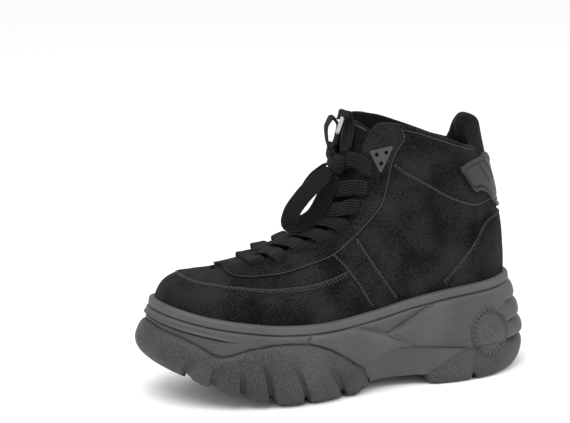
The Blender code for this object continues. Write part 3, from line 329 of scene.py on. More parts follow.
# seams: line, height of its cut edge in mm or 0 for none, mm to a height share, stitch rows in mm, part drawn
SEAMS = (
    (GUARD_EDGE, 1.05, VAMP_MM, (-1.4, -3.0), 0.0, 0.97),
    (STAY_EDGE, 1.80, VAMP_MM, (1.7,), 0.02, 1.0),
    (BAND_EDGES[:, [1, 0]], 1.40, SHAFT_MM, (-1.1,), 0.07, 0.90),
    (BAND_EDGES[:, [2, 0]], 1.40, SHAFT_MM, (1.1,), 0.07, 0.90),
    (COUNTER_EDGE, 1.05, SHAFT_MM, (-1.1,), 0.0, 1.0),
    (ANKLE_SEAM, 0.16, SHAFT_MM, (0.9,), 0.0, 1.0),
    (COLLAR_LINE, 0.05, SHAFT_MM, (), 0.0, 0.86),
    (THROAT_LINE, 0.0, SHAFT_MM, (0.0,), 0.0, 1.0),
    (STAY_END, 1.60, SHAFT_MM, (1.6,), 0.0, 1.0),
)


def cubic(a, b, c, d, h, t):
    """Cubic from a to b over a width h, with the slopes c and d at its ends, at share t."""
    return (a * (2 * t**3 - 3 * t**2 + 1) + b * (3 * t**2 - 2 * t**3)
            + c * h * (t**3 - 2 * t**2 + t) + d * h * (t**3 - t**2))


def smooth(knots, values, at, even=True):
    """Cubic through the knots, mirrored past both ends."""
    sign = 1.0 if even else -1.0
    ends = (2 * knots[0] - knots[1], 2 * knots[-1] - knots[-2])
    k = np.concatenate([ends[:1], knots, ends[1:]])
    v = np.concatenate([[sign * values[1]], values, [sign * values[-2]]])
    slope = (v[2:] - v[:-2]) / (k[2:] - k[:-2])
    at = np.clip(np.asarray(at, float), knots[0], knots[-1])
    i = np.clip(np.searchsorted(knots, at, side="right") - 1, 0, len(knots) - 2)
    h = knots[i + 1] - knots[i]
    t = (at - knots[i]) / h
    return cubic(values[i], values[i + 1], slope[i], slope[i + 1], h, t)


def column(name, s):
    """One column of the upper's sections at arc share s."""
    values = SECTIONS[:, SECTION_COLUMNS.index(name)]
    return smooth(SECTIONS[:, 0], values, s, name not in ODD_COLUMNS)


def ramp(x, half):
    """0 below -half, 1 above half, smooth between."""
    t = np.clip((np.asarray(x) / half + 1) / 2, 0, 1)
    return t * t * (3 - 2 * t)


def rim_z(x):
    """Height of the sole's rim over a point of the foot's length."""
    share = (np.asarray(x) - TOE_X) / UPPER_LENGTH
    toe = smooth(RIM[:, 0], RIM[:, 1], share)
    heel = smooth(RIM[:, 0], RIM[:, 2], share)
    return SOLE_FORE + TOE_RISE * toe + HEEL_RISE * heel


def foot(s, side):
    """Plan point of the line where upper and sole meet, carried past both ends onto the far side."""
    s = np.asarray(s, float)
    inner = np.where(s < 0, -s, np.where(s > 1, 2 - s, s))
    turn = np.where((s < 0) | (s > 1), -side, side)
    x = TOE_X + UPPER_LENGTH * column("foot_x", inner)
    y = CENTRE_Y + HALF_BALL * (column("centre", inner) + turn * column("foot_half", inner))
    return x, y


def plan_normal(s, side):
    """Outward plan direction of the foot outline."""
    step = 1e-3
    x0, y0 = foot(np.asarray(s) - step, side)
    x1, y1 = foot(np.asarray(s) + step, side)
    length = np.hypot(x1 - x0, y1 - y0)
    return -side * (y1 - y0) / length, side * (x1 - x0) / length


def upper(s, v, side):
    """Outer face of the upper: arc share s, height share v from the feather line to the top line."""
    s, v = np.broadcast_arrays(np.asarray(s, float), np.asarray(v, float))
    xb, yb = foot(s, side)
    zb = rim_z(xb) - TUCK
    mid = CENTRE_Y + HALF_BALL * column("centre", np.maximum(s, POLE_SHARE)) * 0.5
    xt = TOE_X + UPPER_LENGTH * column("top_x", s)
    half = np.where(s <= THROAT_START, 0.0, HALF_BALL * column("top_half", s))
    zt = SHAFT_BASE + SHAFT_HEIGHT * column("top_z", s)
    arch = column("arch", s)
    fan = column("fan", s)
    rise = v + (np.sin(np.pi * v / 2) ** 0.92 - v) * arch
    close = v**LEAN + ((1 - np.cos(np.pi * v / 2) ** 0.85) - v**LEAN) * arch
    along = rise + (close - rise) * fan
    nx, ny = plan_normal(s, side)
    bulge = column("belly", s) * BALL_WIDTH * np.sin(np.pi * v)
    x = xb + (xt - xb) * along + nx * bulge
    y = yb + (mid + side * half - yb) * close + ny * bulge
    tab = np.clip(1 - np.abs(half / TAB_HALF) ** 3, 0, 1) ** 0.6 * (s > 0.8)
    z = zb + (zt - zb) * rise + TAB_HEIGHT * tab * np.clip((v - 0.75) / 0.25, 0, 1) ** 2
    return np.stack([x, y, z], -1)


def unit(vectors):
    """The vectors made one long."""
    return vectors / np.maximum(np.linalg.norm(vectors, axis=-1, keepdims=True), 1e-12)


def upper_normal(s, v, side):
    """Outward unit normal of the upper."""
    step = 1e-3
    ds = upper(s + step, v, side) - upper(s - step, v, side)
    dv = upper(s, np.minimum(v + step, 1.0), side) - upper(s, v - step, side)
    return unit(side * np.cross(dv, ds))


def smooth_open(knots, values, at):
    """Cubic through the knots with free ends."""
    slope = np.gradient(values, knots)
    i = np.clip(np.searchsorted(knots, at, side="right") - 1, 0, len(knots) - 2)
    h = knots[i + 1] - knots[i]
    t = (at - knots[i]) / h
    return cubic(values[i], values[i + 1], slope[i], slope[i + 1], h, t)


def read_line(at, run, line):
    """Points of a line at some lengths along it."""
    return np.stack([np.interp(at, run, part) for part in line.T], -1)


def curve_through(points, count):
    """Evenly spaced points on a smooth curve through the given ones."""
    points = np.asarray(points, float)
    knots = run_along(points)
    fine = np.linspace(0, knots[-1], 400)
    line = np.stack([smooth_open(knots, points[:, k], fine) for k in range(3)], -1)
    run = run_along(line)
    even = np.linspace(0, run[-1], count)
    return read_line(even, run, line), run[-1]


def lace_rows():
    """Arc shares of the lace rows, evenly spaced along the throat edge."""
    s = np.linspace(0.292, 0.668, 200)
    edge = upper(s, np.full_like(s, 0.94), LATERAL)
    run = run_along(edge)
    return np.interp(np.linspace(0, run[-1], LACE_ROWS), run, s)


def lace_widths(line, axis, turned):
    """Direction across the lace: the axis, or where it is turned so that its broad face looks to LACE_FACE.

    turned is the share of the turn at the start and at the end of the line.
    """
    along = unit(np.gradient(line, axis=0))
    share = np.linspace(turned[0], turned[1], len(line))[:, None]
    return np.array(axis, float) * (1 - share) + np.cross(along, LACE_FACE) * share


def eased(table, column_number, s, half=0.008):
    """Broken line with its corners rounded: the mean of five readings across +-half."""
    total = 0.0
    for shift in (-1.0, -0.5, 0.0, 0.5, 1.0):
        total = total + np.interp(s + shift * half, table[:, 0], table[:, column_number])
    return total / 5


def paint(code):
    """Linear colour from an sRGB hex value."""
    part = np.array([int(code[k:k + 2], 16) for k in (1, 3, 5)]) / 255
    return tuple(float(c) for c in np.where(part <= 0.04045, part / 12.92, ((part + 0.055) / 1.055) ** 2.4))


def line_distance(a, b, path, size_a, size_b):
    """Shortest distance in mm from points (a, b) to a broken line, where one unit of a is size_a mm."""
    best = np.full(np.broadcast(a, b).shape, 1e3)
    for (a0, b0), (a1, b1) in zip(path[:-1], path[1:]):
        u, w = (a1 - a0) * size_a, (b1 - b0) * size_b
        p, q = (a - a0) * size_a, (b - b0) * size_b
        t = np.clip((p * u + q * w) / (u * u + w * w), 0, 1)
        best = np.minimum(best, np.hypot(p - t * u, q - t * w))
    return best


def quarter(share):
    """Quarter circle: 0 at 0 and 1 at 1, steep at first."""
    return np.sqrt(1 - (1 - share) ** 2)


def bell(distance, width):
    """1 on the line, falling off as a Gaussian."""
    return np.exp(-((distance / width) ** 2))


def soft_form(s, v, side):
    """Height of the soft forms on the upper: padded collar and counter, pulled seams, ankle folds."""
    sizes = bpy.context.scene.boot_sizes
    seam = line_distance(s, v, ANKLE_SEAM, AROUND_MM, SHAFT_MM)
    above = ramp(v - np.interp(s, ANKLE_SEAM[:, 0], ANKLE_SEAM[:, 1]), 0.06) * ramp(s - 0.755, 0.03)
    puff = above * np.sin(np.pi * np.clip((v - 0.55) / 0.45, 0, 1)) ** 0.7
    form = sizes.collar_puff * puff - 0.0006 * bell(seam, 0.9) * ramp(s - 0.735, 0.004)
    for a0, b0, a1, b1, deep, wide in FOLDS:
        path = np.array([(a0, b0), (a1, b1)])
        form = form - sizes.fold_depth * deep * bell(line_distance(s, v, path, AROUND_MM, SHAFT_MM), wide)
    # slow uneven waves of a quarter millimetre, faded out at both edges
    wave = np.sin(31 * s + 5 * v + side) * np.sin(11 * v - 7 * s + 0.7 * side)
    return form + 0.00025 * wave * np.clip(v * 4, 0, 1) * np.clip((1 - v) * 8, 0, 1)


def skin(s, v, side):
    """Outer face of the dressed upper, and its outward normals."""
    near = np.clip(v, 0.0015, 0.995)
    normal, other = upper_normal(s, near, side), upper_normal(s, near, -side)
    share = 0.5 * (s <= THROAT_START) * ramp(v - 0.97, 0.03)
    normal = unit(normal + (other - normal) * np.broadcast_to(share, normal.shape[:-1])[..., None])
    return upper(s, v, side) + normal * soft_form(s, v, side)[..., None], normal


def run_along(points, axis=0):
    """Length walked along a line, or along one axis of a grid of points."""
    step = np.linalg.norm(np.diff(points, axis=axis), axis=-1)
    zero = np.zeros_like(np.take(step, [0], axis=axis))
    return np.concatenate([zero, np.cumsum(step, axis=axis)], axis=axis)


def edge_distance(points, edges):
    """Distance on the sheet to its named borders: 0- and 0+ end the rows, 1- and 1+ the columns."""
    best = np.full(points.shape[:2], 1.0)
    for axis in (0, 1):
        run = run_along(points, axis)
        if f"{axis}-" in edges:
            best = np.minimum(best, run)
        if f"{axis}+" in edges:
            best = np.minimum(best, np.take(run, [-1], axis=axis) - run)
    return best


def grid_faces(rows, columns, first=0):
    """Quads of a grid as one array of corner numbers."""
    a = first + np.arange(rows - 1)[:, None] * columns + np.arange(columns - 1)
    return np.stack([a, a + columns, a + columns + 1, a + 1], -1).reshape(-1, 4)


def shell_parts(top, low, joined=(), walled=None):
    """Two grids and the strips between their borders; joined borders and unwalled rows get none."""
    rows, columns = top.shape[:2]
    count = rows * columns
    number = np.arange(count).reshape(rows, columns)
    faces = [grid_faces(rows, columns), grid_faces(rows, columns, count)]
    borders = {"0-": number[0], "0+": number[-1], "1-": number[:, 0], "1+": number[:, -1]}
    for key, line in borders.items():
        if key in joined:
            continue
        strip = np.stack([line[:-1], line[1:], line[1:] + count, line[:-1] + count], -1)
        if key == "1+" and walled is not None:
            strip = strip[walled[:-1] & walled[1:]]
        faces.append(strip)
    return np.concatenate([top.reshape(-1, 3), low.reshape(-1, 3)]), np.concatenate(faces)


def put(name, points, faces, looks, node=(), slot=None, second=None, sharp=0.9, uv=None, fill=True):
    """Piece from arrays: equal points merge, holes close, faces turn outward, then it rides the boot."""
    mesh = bpy.data.meshes.new(name)
    mesh.from_pydata(points, [], faces)
    for material in looks if isinstance(looks, (list, tuple)) else [looks]:
        mesh.materials.append(material)
    if second is not None:
        mesh.polygons.foreach_set("material_index", second.astype(np.int32))
    if uv is not None:
        layer = mesh.uv_layers.new(name="lace")
        corner = np.empty(len(mesh.loops), np.int32)
        mesh.loops.foreach_get("vertex_index", corner)
        layer.data.foreach_set("uv", uv[corner].ravel())
    work = bmesh.new()
    work.from_mesh(mesh)
    bmesh.ops.remove_doubles(work, verts=work.verts, dist=WELD)
    bmesh.ops.dissolve_degenerate(work, edges=work.edges, dist=WELD / 2)
    rim = [edge for edge in work.edges if edge.is_boundary]
    if rim and fill:
        bmesh.ops.holes_fill(work, edges=rim, sides=0)
    bmesh.ops.recalc_face_normals(work, faces=work.faces)
    work.to_mesh(mesh)
    work.free()
    mesh.polygons.foreach_set("use_smooth", np.ones(len(mesh.polygons), bool))
    mesh.set_sharp_from_angle(angle=sharp)
    item = bpy.data.objects.new(name, mesh)
    bpy.context.scene.collection.objects.link(item)
    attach(item, "root")
    if node:
        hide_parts(*node)
    return item


def gather(parts):
    """Points and faces of several pieces as one."""
    points, faces, first = [], [], 0
    for part_points, part_faces in parts:
        points.append(part_points.reshape(-1, 3))
        faces.append(part_faces + first)
        first += len(points[-1])
    return np.concatenate(points), np.concatenate(faces)


def crowded(count, low=True, high=True):
    """Shares from 0 to 1, closer together towards the chosen ends."""
    t = np.linspace(0, 1, count)
    if low and high:
        return (1 - np.cos(np.pi * t)) / 2
    if high:
        return 1 - (1 - t) ** 1.7
    return t ** 1.7 if low else t


def strip(at, low, high, shares):
    """Arc and height shares of a grid between two lines over the same arc shares."""
    v = low[:, None] + (high - low)[:, None] * shares[None]
    return np.repeat(at[:, None], v.shape[1], axis=1), v


def raised_sheet(s, v, edges, sides, low, high, radius=0.0009, extra=None):
    """Top and underside grids of a sheet on the upper: edges round off by a quarter circle of radius.

    sides is one side, or both, joined where the first row of s meets the middle of the boot.
    """
    tops, lows = [], []
    for side in sides:
        base, normal = skin(s, v, side)
        away = np.clip(edge_distance(base, edges) / radius, 0, 1)
        lift = low + (high - low) * quarter(away)
        if extra is not None:
            lift = lift + extra(edge_distance(base, edges)) * (away >= 1)
        tops.append(base + normal * lift[..., None])
        lows.append(base + normal * low)
    return tops, lows


def mirrored(grids):
    """One grid from the outer and inner halves, which share their first row at the seam."""
    outer, inner = grids
    return np.concatenate([outer[::-1], inner[1:]])


def wall_out(s, z):
    """Outward offset of the sole's side: cubic through the wall table both ways, plus its panels and ribs."""
    s, z = np.broadcast_arrays(np.asarray(s, float), np.asarray(z, float))
    low = eased(GROUND_LINE, 1, s) / 1000
    share = np.clip((z - low) / (rim_z(foot(s, LATERAL)[0]) - low), 0, 1)
    rows = np.stack([smooth_open(SOLE_WALL[:, 0], SOLE_WALL[:, k + 1], s) for k in range(8)])
    slopes = np.gradient(rows, WALL_SHARES, axis=0)
    k = np.clip(np.searchsorted(WALL_SHARES, share, side="right") - 1, 0, 6)
    h = WALL_SHARES[k + 1] - WALL_SHARES[k]
    t = (share - WALL_SHARES[k]) / h
    a, b = (np.take_along_axis(rows, (k + n)[None], 0)[0] for n in (0, 1))
    c, d = (np.take_along_axis(slopes, (k + n)[None], 0)[0] for n in (0, 1))
    return cubic(a, b, c, d, h, t) / 1000 + side_form(s, 1000 * z) - back_ribs(s, z)


def side_form(s, mm):
    """Raised panels of the sole's side with a cut line round each, in metres; mm is the height."""
    parting = eased(PARTING, 1, s, 0.004)
    arch_top = eased(ARCH_TOP, 1, s, 0.003)
    arch_low = np.where(s < 0.508, parting, eased(ARCH_LOW, 1, s, 0.003))
    inside = ramp(s - 0.372, 0.006) * (s < 0.655)
    arch = ramp(arch_top - mm, 0.8) * ramp(mm - arch_low, 0.8) * inside
    top, under = eased(PANEL_TOP, 1, s, 0.003), eased(PANEL_LOW, 1, s, 0.003)
    panel = ramp(top - mm, 0.8) * ramp(mm - under, 0.8) * (s > 0.57)
    hollow = ramp(arch_low - mm, 3.0) * (s > 0.508) * ramp(0.70 - s, 0.02)
    # mm: the arch and the heel panel stand out, the waist under the arch lies back
    form = 1.3 * arch + 1.9 * panel - 1.6 * hollow
    cuts = np.full(s.shape, 1e3)
    for path in (ARCH_TOP, ARCH_LOW[:4], PANEL_TOP, PANEL_LOW[:3], ARCH_FRONT, PARTING):
        cuts = np.minimum(cuts, line_distance(s, mm, path, AROUND_MM, 1.0))
    # each cut line is a sharp groove in a wide shallow one
    form = form - 1.0 * bell(cuts, 0.75) - 1.2 * bell(cuts, 3.0)
    # round the toe a ridge stands over a band that lies back
    ridge = np.interp(s, TOE_RIDGE[:, 0], TOE_RIDGE[:, 1])
    fade = ramp(0.185 - s, 0.03)
    form = form - 1.5 * fade * ramp(ridge - mm, 0.7) * ramp(mm - parting, 3.0)
    form = form + 0.5 * fade * bell(mm - ridge - 1.0, 0.9) - 1.1 * fade * bell(mm - ridge + 0.3, 0.6)
    return form / 1000


def back_ribs(s, z):
    """Depth of the level grooves round the back of the heel: sharp at the bottom, full between."""
    fade = np.clip((s - 0.865) / 0.06, 0, 1)
    deep = 0.0
    for level in RIB_GROOVES_Z + (HEEL_PARTING[-1, 1] / 1000, TOP_RIB_Z):
        deep = deep + np.exp(-np.abs((z - level) / 0.0021) ** 1.3)
    return RIB_DEPTH * fade * deep


def off_foot(s, z, side, out):
    """Point at height z, out from the foot's outline along its plan normal."""
    x, y = foot(s, side)
    nx, ny = plan_normal(s, side)
    return np.stack(np.broadcast_arrays(x + nx * out, y + ny * out, z), -1)


def wall_point(s, z, side, extra=0.0):
    """Point of the sole's side at arc share s and height z."""
    return off_foot(s, z, side, wall_out(s, z) + extra)


def rounded(height, radius):
    """Pull-in of a lower edge rounded by a quarter circle of that radius."""
    return radius - np.sqrt(np.maximum(radius**2 - np.maximum(radius - height, 0) ** 2, 0))


def between(left, right, shares):
    """Points on the straight lines between two edges."""
    shares = np.asarray(shares)[None, :, None]
    return left[:, None] + (right - left)[:, None] * shares


def loft(left, right, under):
    """Closed rings through the sections: down the left wall, across, up the right wall, back over the top."""
    over = between(right[:, 0], left[:, 0], [0.5])
    ring = np.concatenate([left, under, right[:, ::-1], over, left[:, :1]], axis=1)
    return ring.reshape(-1, 3), grid_faces(*ring.shape[:2])


def tube(line, radius, turns=6):
    """Round tube along a line; its end rings shrink to points, so that it closes."""
    along = unit(np.gradient(line, axis=0))
    one = unit(np.cross(along, (0.31, 0.17, 0.94)))
    two = np.cross(along, one)
    angle = np.linspace(0, 2 * np.pi, turns + 1)[None, :, None]
    size = np.broadcast_to(radius, len(line)).astype(float).copy()
    size[[0, -1]] = 0
    circle = one[:, None] * np.cos(angle) + two[:, None] * np.sin(angle)
    rings = line[:, None] + size[:, None, None] * circle
    return rings.reshape(-1, 3), grid_faces(*rings.shape[:2])


def flat_lace(line, widths, width, thick, turns=18):
    """Flat woven lace: a rounded oblong carried along a line. Also gives each point's place in mm."""
    along = unit(np.gradient(line, axis=0))
    wide = unit(widths - along * np.sum(widths * along, axis=1, keepdims=True))
    up = np.cross(along, wide)
    angle = np.linspace(0, 2 * np.pi, turns + 1)
    a = np.sign(np.cos(angle)) * np.abs(np.cos(angle)) ** 0.45 / 2
    b = np.sign(np.sin(angle)) * np.abs(np.sin(angle)) ** 0.8 / 2
    width = np.broadcast_to(width, len(line))[:, None, None]
    thick = np.broadcast_to(thick, len(line))[:, None, None]
    rings = line[:, None] + wide[:, None] * a[None, :, None] * width + up[:, None] * b[None, :, None] * thick
    run = run_along(line)[:, None]
    spots = np.stack(np.broadcast_arrays(a[None] * width[..., 0] * 1000, run * 1000), -1)
    return rings.reshape(-1, 3), grid_faces(*rings.shape[:2]), spots.reshape(-1, 2)


def seam_line(path, offset, count, size_b, start, stop):
    """Evenly spaced (s, v) along a table's line, moved sideways by offset mm towards its left."""
    scale = np.array([AROUND_MM, size_b])
    points = np.asarray(path)[:, :2] * scale
    line, _ = curve_through(np.column_stack([points, np.zeros(len(points))]), 400)
    line = line[:, :2]
    way = unit(np.gradient(line, axis=0))
    line = line + offset * np.column_stack([-way[:, 1], way[:, 0]])
    share = np.linspace(start, stop, count)
    return (read_line(share, np.linspace(0, 1, 400), line) / scale).T


def on_skin(s, v, side, lift):
    """Line on the upper at a height, with its normals."""
    base, normal = skin(s, v, side)
    return base + normal * lift, normal


def stitches(line, normals, pitch, length, radius):
    """Row of stitches: one small spindle of four rings for each pitch of the line."""
    run = run_along(line)
    at = np.arange(pitch / 2, run[-1] - pitch / 2, pitch)
    spots, ups = read_line(at, run, line), read_line(at, run, normals)
    ways = unit(np.gradient(spots, axis=0))
    ups = unit(ups - ways * np.sum(ups * ways, axis=1, keepdims=True))
    side = np.cross(ways, ups)
    angle = np.linspace(0, 2 * np.pi, 6)
    rings = []
    for share, size in ((-0.5, 0.0), (-0.42, 0.7), (0.0, 1.0), (0.42, 0.7), (0.5, 0.0)):
        centre = spots + ways * share * length
        circle = side[:, None] * np.cos(angle)[:, None] + ups[:, None] * np.sin(angle)[:, None]
        rings.append(centre[:, None] + circle * radius * size)
    grid = np.stack(rings, 1)
    faces = grid_faces(5, len(angle))
    first = np.arange(len(spots))[:, None, None] * 5 * len(angle)
    return grid.reshape(-1, 3), (faces[None] + first).reshape(-1, 4)


def add_node(tree, kind, values=None, links=None):
    """Adds one node: values go to sockets or settings of that name, links join sockets to outputs."""
    made = tree.nodes.new(kind)
    for key, value in (values or {}).items():
        if isinstance(key, str) and hasattr(made, key) and key not in made.inputs:
            setattr(made, key, value)
        else:
            made.inputs[key].default_value = value
    for key, source in (links or {}).items():
        tree.links.new(source, made.inputs[key])
    return made


def finish_material(name, rough, sheen=0.0, sheen_rough=0.5, gloss=0.5, ior=1.5):
    """Material with its constant finish on the shader's own sockets."""
    made = bpy.data.materials.new(name)
    made.use_nodes = True
    shader = made.node_tree.nodes["Principled BSDF"]
    for key, value in (("Roughness", rough), ("Sheen Weight", sheen), ("Sheen Roughness", sheen_rough),
                       ("Specular IOR Level", gloss), ("IOR", ior)):
        shader.inputs[key].default_value = value
    return made, made.node_tree, shader


def mottled(name, dark, light, rough, grain_mm, patch_mm, bump_mm, share=0.5, spread=0.14, **finish):
    """Colour between dark and light after a fine grain and wide soft patches, with the grain as relief."""
    made, tree, shader = finish_material(name, rough, **finish)
    spot = add_node(tree, "ShaderNodeTexCoord").outputs["Object"]
    grain = add_node(tree, "ShaderNodeTexNoise", {"Scale": 1000 / grain_mm, "Detail": 3.0}, {"Vector": spot})
    patch = add_node(tree, "ShaderNodeTexNoise", {"Scale": 1000 / patch_mm, "Detail": 1.0}, {"Vector": spot})
    mixed = add_node(tree, "ShaderNodeMix", {"Factor": share},
                     {"A": grain.outputs[0], "B": patch.outputs[0]})
    sharper = add_node(tree, "ShaderNodeMapRange", {"From Min": 0.5 - spread, "From Max": 0.5 + spread},
                       {"Value": mixed.outputs[0]})
    colour = add_node(tree, "ShaderNodeMix", {"data_type": "RGBA"}, {"Factor": sharper.outputs[0]})
    colour.inputs[6].default_value = (*dark, 1.0)
    colour.inputs[7].default_value = (*light, 1.0)
    tree.links.new(colour.outputs[2], shader.inputs["Base Color"])
    bump = add_node(tree, "ShaderNodeBump", {"Strength": 0.6, "Distance": bump_mm / 1000},
                    {"Height": grain.outputs[0]})
    tree.links.new(bump.outputs[0], shader.inputs["Normal"])
    made.diffuse_color = (*light, 1.0)
    return made


def knitted(name, dark, light):
    """Flat knitted lace: ribs along it and small stitches across, with painted shade in the low lines between
    them.

    Both are drawn 1.9 mm apart, a little coarser than real, so that they show at the picture's size.
    """
    made, tree, shader = finish_material(name, 0.9, sheen=0.03, gloss=0.15)
    spot = add_node(tree, "ShaderNodeUVMap", {"uv_map": "lace"}).outputs[0]
    ribs = add_node(tree, "ShaderNodeTexWave", {"Scale": WAVE_TURN / LACE_RIB_MM, "bands_direction": "X"},
                    {"Vector": spot})
    rows = add_node(tree, "ShaderNodeTexWave", {"Scale": WAVE_TURN / LACE_STITCH_MM, "bands_direction": "Y",
                                                "Distortion": 1.5}, {"Vector": spot})
    weave = add_node(tree, "ShaderNodeMath", {"operation": "MULTIPLY"},
                     {0: ribs.outputs["Fac"], 1: rows.outputs["Fac"]})
    height = add_node(tree, "ShaderNodeMath", {"operation": "ADD"},
                      {0: ribs.outputs["Fac"], 1: weave.outputs[0]})
    # colour follows the relief: painted shade in the low lines between ribs and stitches, the lace's pale
    # colour on the ribs
    drawn = add_node(tree, "ShaderNodeMix", {"Factor": 0.45},
                     {"A": ribs.outputs["Fac"], "B": weave.outputs[0]})
    colour = add_node(tree, "ShaderNodeMix", {"data_type": "RGBA"}, {"Factor": drawn.outputs[0]})
    colour.inputs[6].default_value = (*dark, 1.0)
    colour.inputs[7].default_value = (*light, 1.0)
    tree.links.new(colour.outputs[2], shader.inputs["Base Color"])
    bump = add_node(tree, "ShaderNodeBump", {"Strength": 0.9, "Distance": 0.0007},
                    {"Height": height.outputs[0]})
    tree.links.new(bump.outputs[0], shader.inputs["Normal"])
    return made


def plain(name, colour, rough, **finish):
    """Material of one even colour."""
    made, _, shader = finish_material(name, rough, **finish)
    shader.inputs["Base Color"].default_value = (*colour, 1.0)
    made.diffuse_color = (*colour, 1.0)
    return made


def shade(colour, factor):
    """The colour made darker or lighter by a factor."""
    return tuple(float(c) * factor for c in colour)


def look(name):
    """The material of that name, made on first use from the colours of the panel."""
    if name in bpy.data.materials:
        return bpy.data.materials[name]
    tint = bpy.context.scene.boot_colours
    if name == "split suede, brushed":
        # a nap that scatters light: no gloss, pale bloom at the turning edges
        return mottled(name, shade(tint.suede, 0.05), shade(tint.suede, 2.15), 0.95, 0.8, 24.0, 0.45,
                       share=0.38, spread=0.08, sheen=0.03, sheen_rough=0.4, gloss=0.12)
    if name == "suede cut edge":
        # knife-cut: raw fibres, matt and paler than the nap
        return plain(name, tint.cut_edge, 0.95)
    if name == "waxed thread":
        # twisted and waxed: a soft light on the back of each stitch
        return plain(name, tint.thread, 0.7)
    if name == "pile lining":
        # woven pile: swallows light, with a fine uneven nap
        return mottled(name, shade(tint.lining, 0.6), shade(tint.lining, 1.6), 0.95, 1.2, 15.0, 0.3,
                       gloss=0.12)
    if name == "moulded rim rubber":
        # pressed in a blasted mould and a little dusty: wide soft patches, no sharp glint
        return mottled(name, shade(tint.rim, 0.90), shade(tint.rim, 1.17), 0.62, 1.0, 30.0, 0.05, share=0.7)
    if name == "moulded polyurethane":
        # skinned foam: satin, with faint scuffs
        return mottled(name, shade(tint.midsole, 0.70), shade(tint.midsole, 1.26), 0.55, 0.9, 34.0, 0.05,
                       share=0.45, spread=0.10)
    if name == "grained tread rubber":
        # moulded grain stands as light specks
        return mottled(name, shade(tint.tread, 0.3), shade(tint.tread, 1.95), 0.6, 0.75, 30.0, 0.4, share=0.2,
                       spread=0.11, gloss=0.4)
    if name == "moulded trim rubber":
        # smooth mould: a broad soft shine along the raised border
        return mottled(name, shade(tint.trim, 0.92), shade(tint.trim, 1.08), 0.5, 1.0, 20.0, 0.04, share=0.6,
                       gloss=0.4)
    if name == "moulded plate rubber":
        # the same mould finish on a paler rubber
        return mottled(name, shade(tint.plate, 0.92), shade(tint.plate, 1.08), 0.5, 1.0, 20.0, 0.04,
                       share=0.6)
    if name == "knitted cotton lace":
        # soft yarn, no shine; the dark lines between pale ribs are painted shade in the knit's hollows
        return knitted(name, shade(tint.lace, 0.05), shade(tint.lace, 1.9))
    if name == "clear lace tip":
        # film shrunk on by heat: a small bright glint
        return plain(name, tint.tip, 0.25)
    raise RuntimeError(f"no material is named {name}")


def colour_property(name, description, code):
    """A colour that a user can change, from its sRGB hex value."""
    return bpy.props.FloatVectorProperty(name=name, description=description, subtype="COLOR", size=3, min=0,
                                         max=1, default=paint(code))


class BootColours(bpy.types.PropertyGroup):
    """Colours of the boot's materials."""
    suede: colour_property("Suede", "Black split suede of the upper", "#141415")
    cut_edge: colour_property("Cut edge", "Raw edges of the suede panels", "#37383a")
    thread: colour_property("Thread", "Sewing thread of the seams", "#3a3a3b")
    lining: colour_property("Lining", "Lining, tongue and footbed", "#0c0c0d")
    rim: colour_property("Rim", "Rubber rim round the foot", "#3d3c3b")
    midsole: colour_property("Midsole", "Smooth platform", "#363535")
    tread: colour_property("Tread", "Grained outsole", "#2d2c2c")
    trim: colour_property("Trim", "Heel patch", "#1e1d1d")
    plate: colour_property("Plate", "Triangular lace plates", "#2a2929")
    lace: colour_property("Lace", "Knitted laces", "#141415")
    tip: colour_property("Lace tip", "Clear film round the lace ends", "#8f8d89")


class BootSizes(bpy.types.PropertyGroup):
    """Sizes of what is laid over the boot's solids."""
    collar_puff: bpy.props.FloatProperty(name="Collar padding", description="How far the collar swells",
                                         unit="LENGTH", min=0, max=0.004, default=0.0013)
    fold_depth: bpy.props.FloatProperty(name="Fold depth", description="Depth of the soft ankle folds",
                                        unit="LENGTH", min=0, max=0.004, default=0.0022)
    stitch_pitch: bpy.props.FloatProperty(name="Stitch spacing", description="From one stitch to the next",
                                          unit="LENGTH", min=0.001, max=0.01, default=0.0026)
    stitch_radius: bpy.props.FloatProperty(name="Thread radius", description="Half the thread's thickness",
                                           unit="LENGTH", min=0.0001, max=0.001, default=0.00032)
    lace_width: bpy.props.FloatProperty(name="Lace width", description="Width of the flat laces",
                                        unit="LENGTH", min=0.004, max=0.014, default=LACE_WIDTH)
    lug_groove: bpy.props.FloatProperty(name="Lug groove", description="Depth of the grooves between lugs",
                                        unit="LENGTH", min=0.001, max=0.006, default=0.0044)


class StageSettings(bpy.types.PropertyGroup):
    """Camera and light of the picture."""
    azimuth: bpy.props.FloatProperty(name="Azimuth", description="Camera's turn from the side to the toe",
                                     subtype="ANGLE", default=np.radians(23.0))
    elevation: bpy.props.FloatProperty(name="Elevation", description="Camera's height as an angle",
                                       subtype="ANGLE", default=np.radians(12.5))
    roll: bpy.props.FloatProperty(name="Roll", description="Camera's turn about its own axis",
                                  subtype="ANGLE", default=0.0)
    distance: bpy.props.FloatProperty(name="Distance", description="From the camera to its aim",
                                      unit="LENGTH", min=0.1, default=1.4)
    lens: bpy.props.FloatProperty(name="Lens", description="Focal length in millimetres", min=10,
                                  max=400, default=126.8)
    key_power: bpy.props.FloatProperty(name="Key light", description="Power of the large light in watts",
                                       min=0, default=13.0)
    fill_power: bpy.props.FloatProperty(name="Fill light", description="Power of the side light in watts",
                                        min=0, default=5.0)
    sky: bpy.props.FloatProperty(name="Surround", description="Strength of the white surround", min=0,
                                 default=1.0)


def place_light(name, place, aim, size, power):
    """Round soft light turned to its aim, with its size in metres and its power in watts."""
    data = bpy.data.lights.new(name, "AREA")
    data.shape = "DISK"
    data.size = size
    data.energy = power
    lamp = bpy.data.objects.new(name, data)
    lamp.location = place
    lamp.rotation_mode = "QUATERNION"
    lamp.rotation_quaternion = (Vector(aim) - Vector(place)).to_track_quat("-Z", "Y")
    bpy.context.scene.collection.objects.link(lamp)
    return lamp


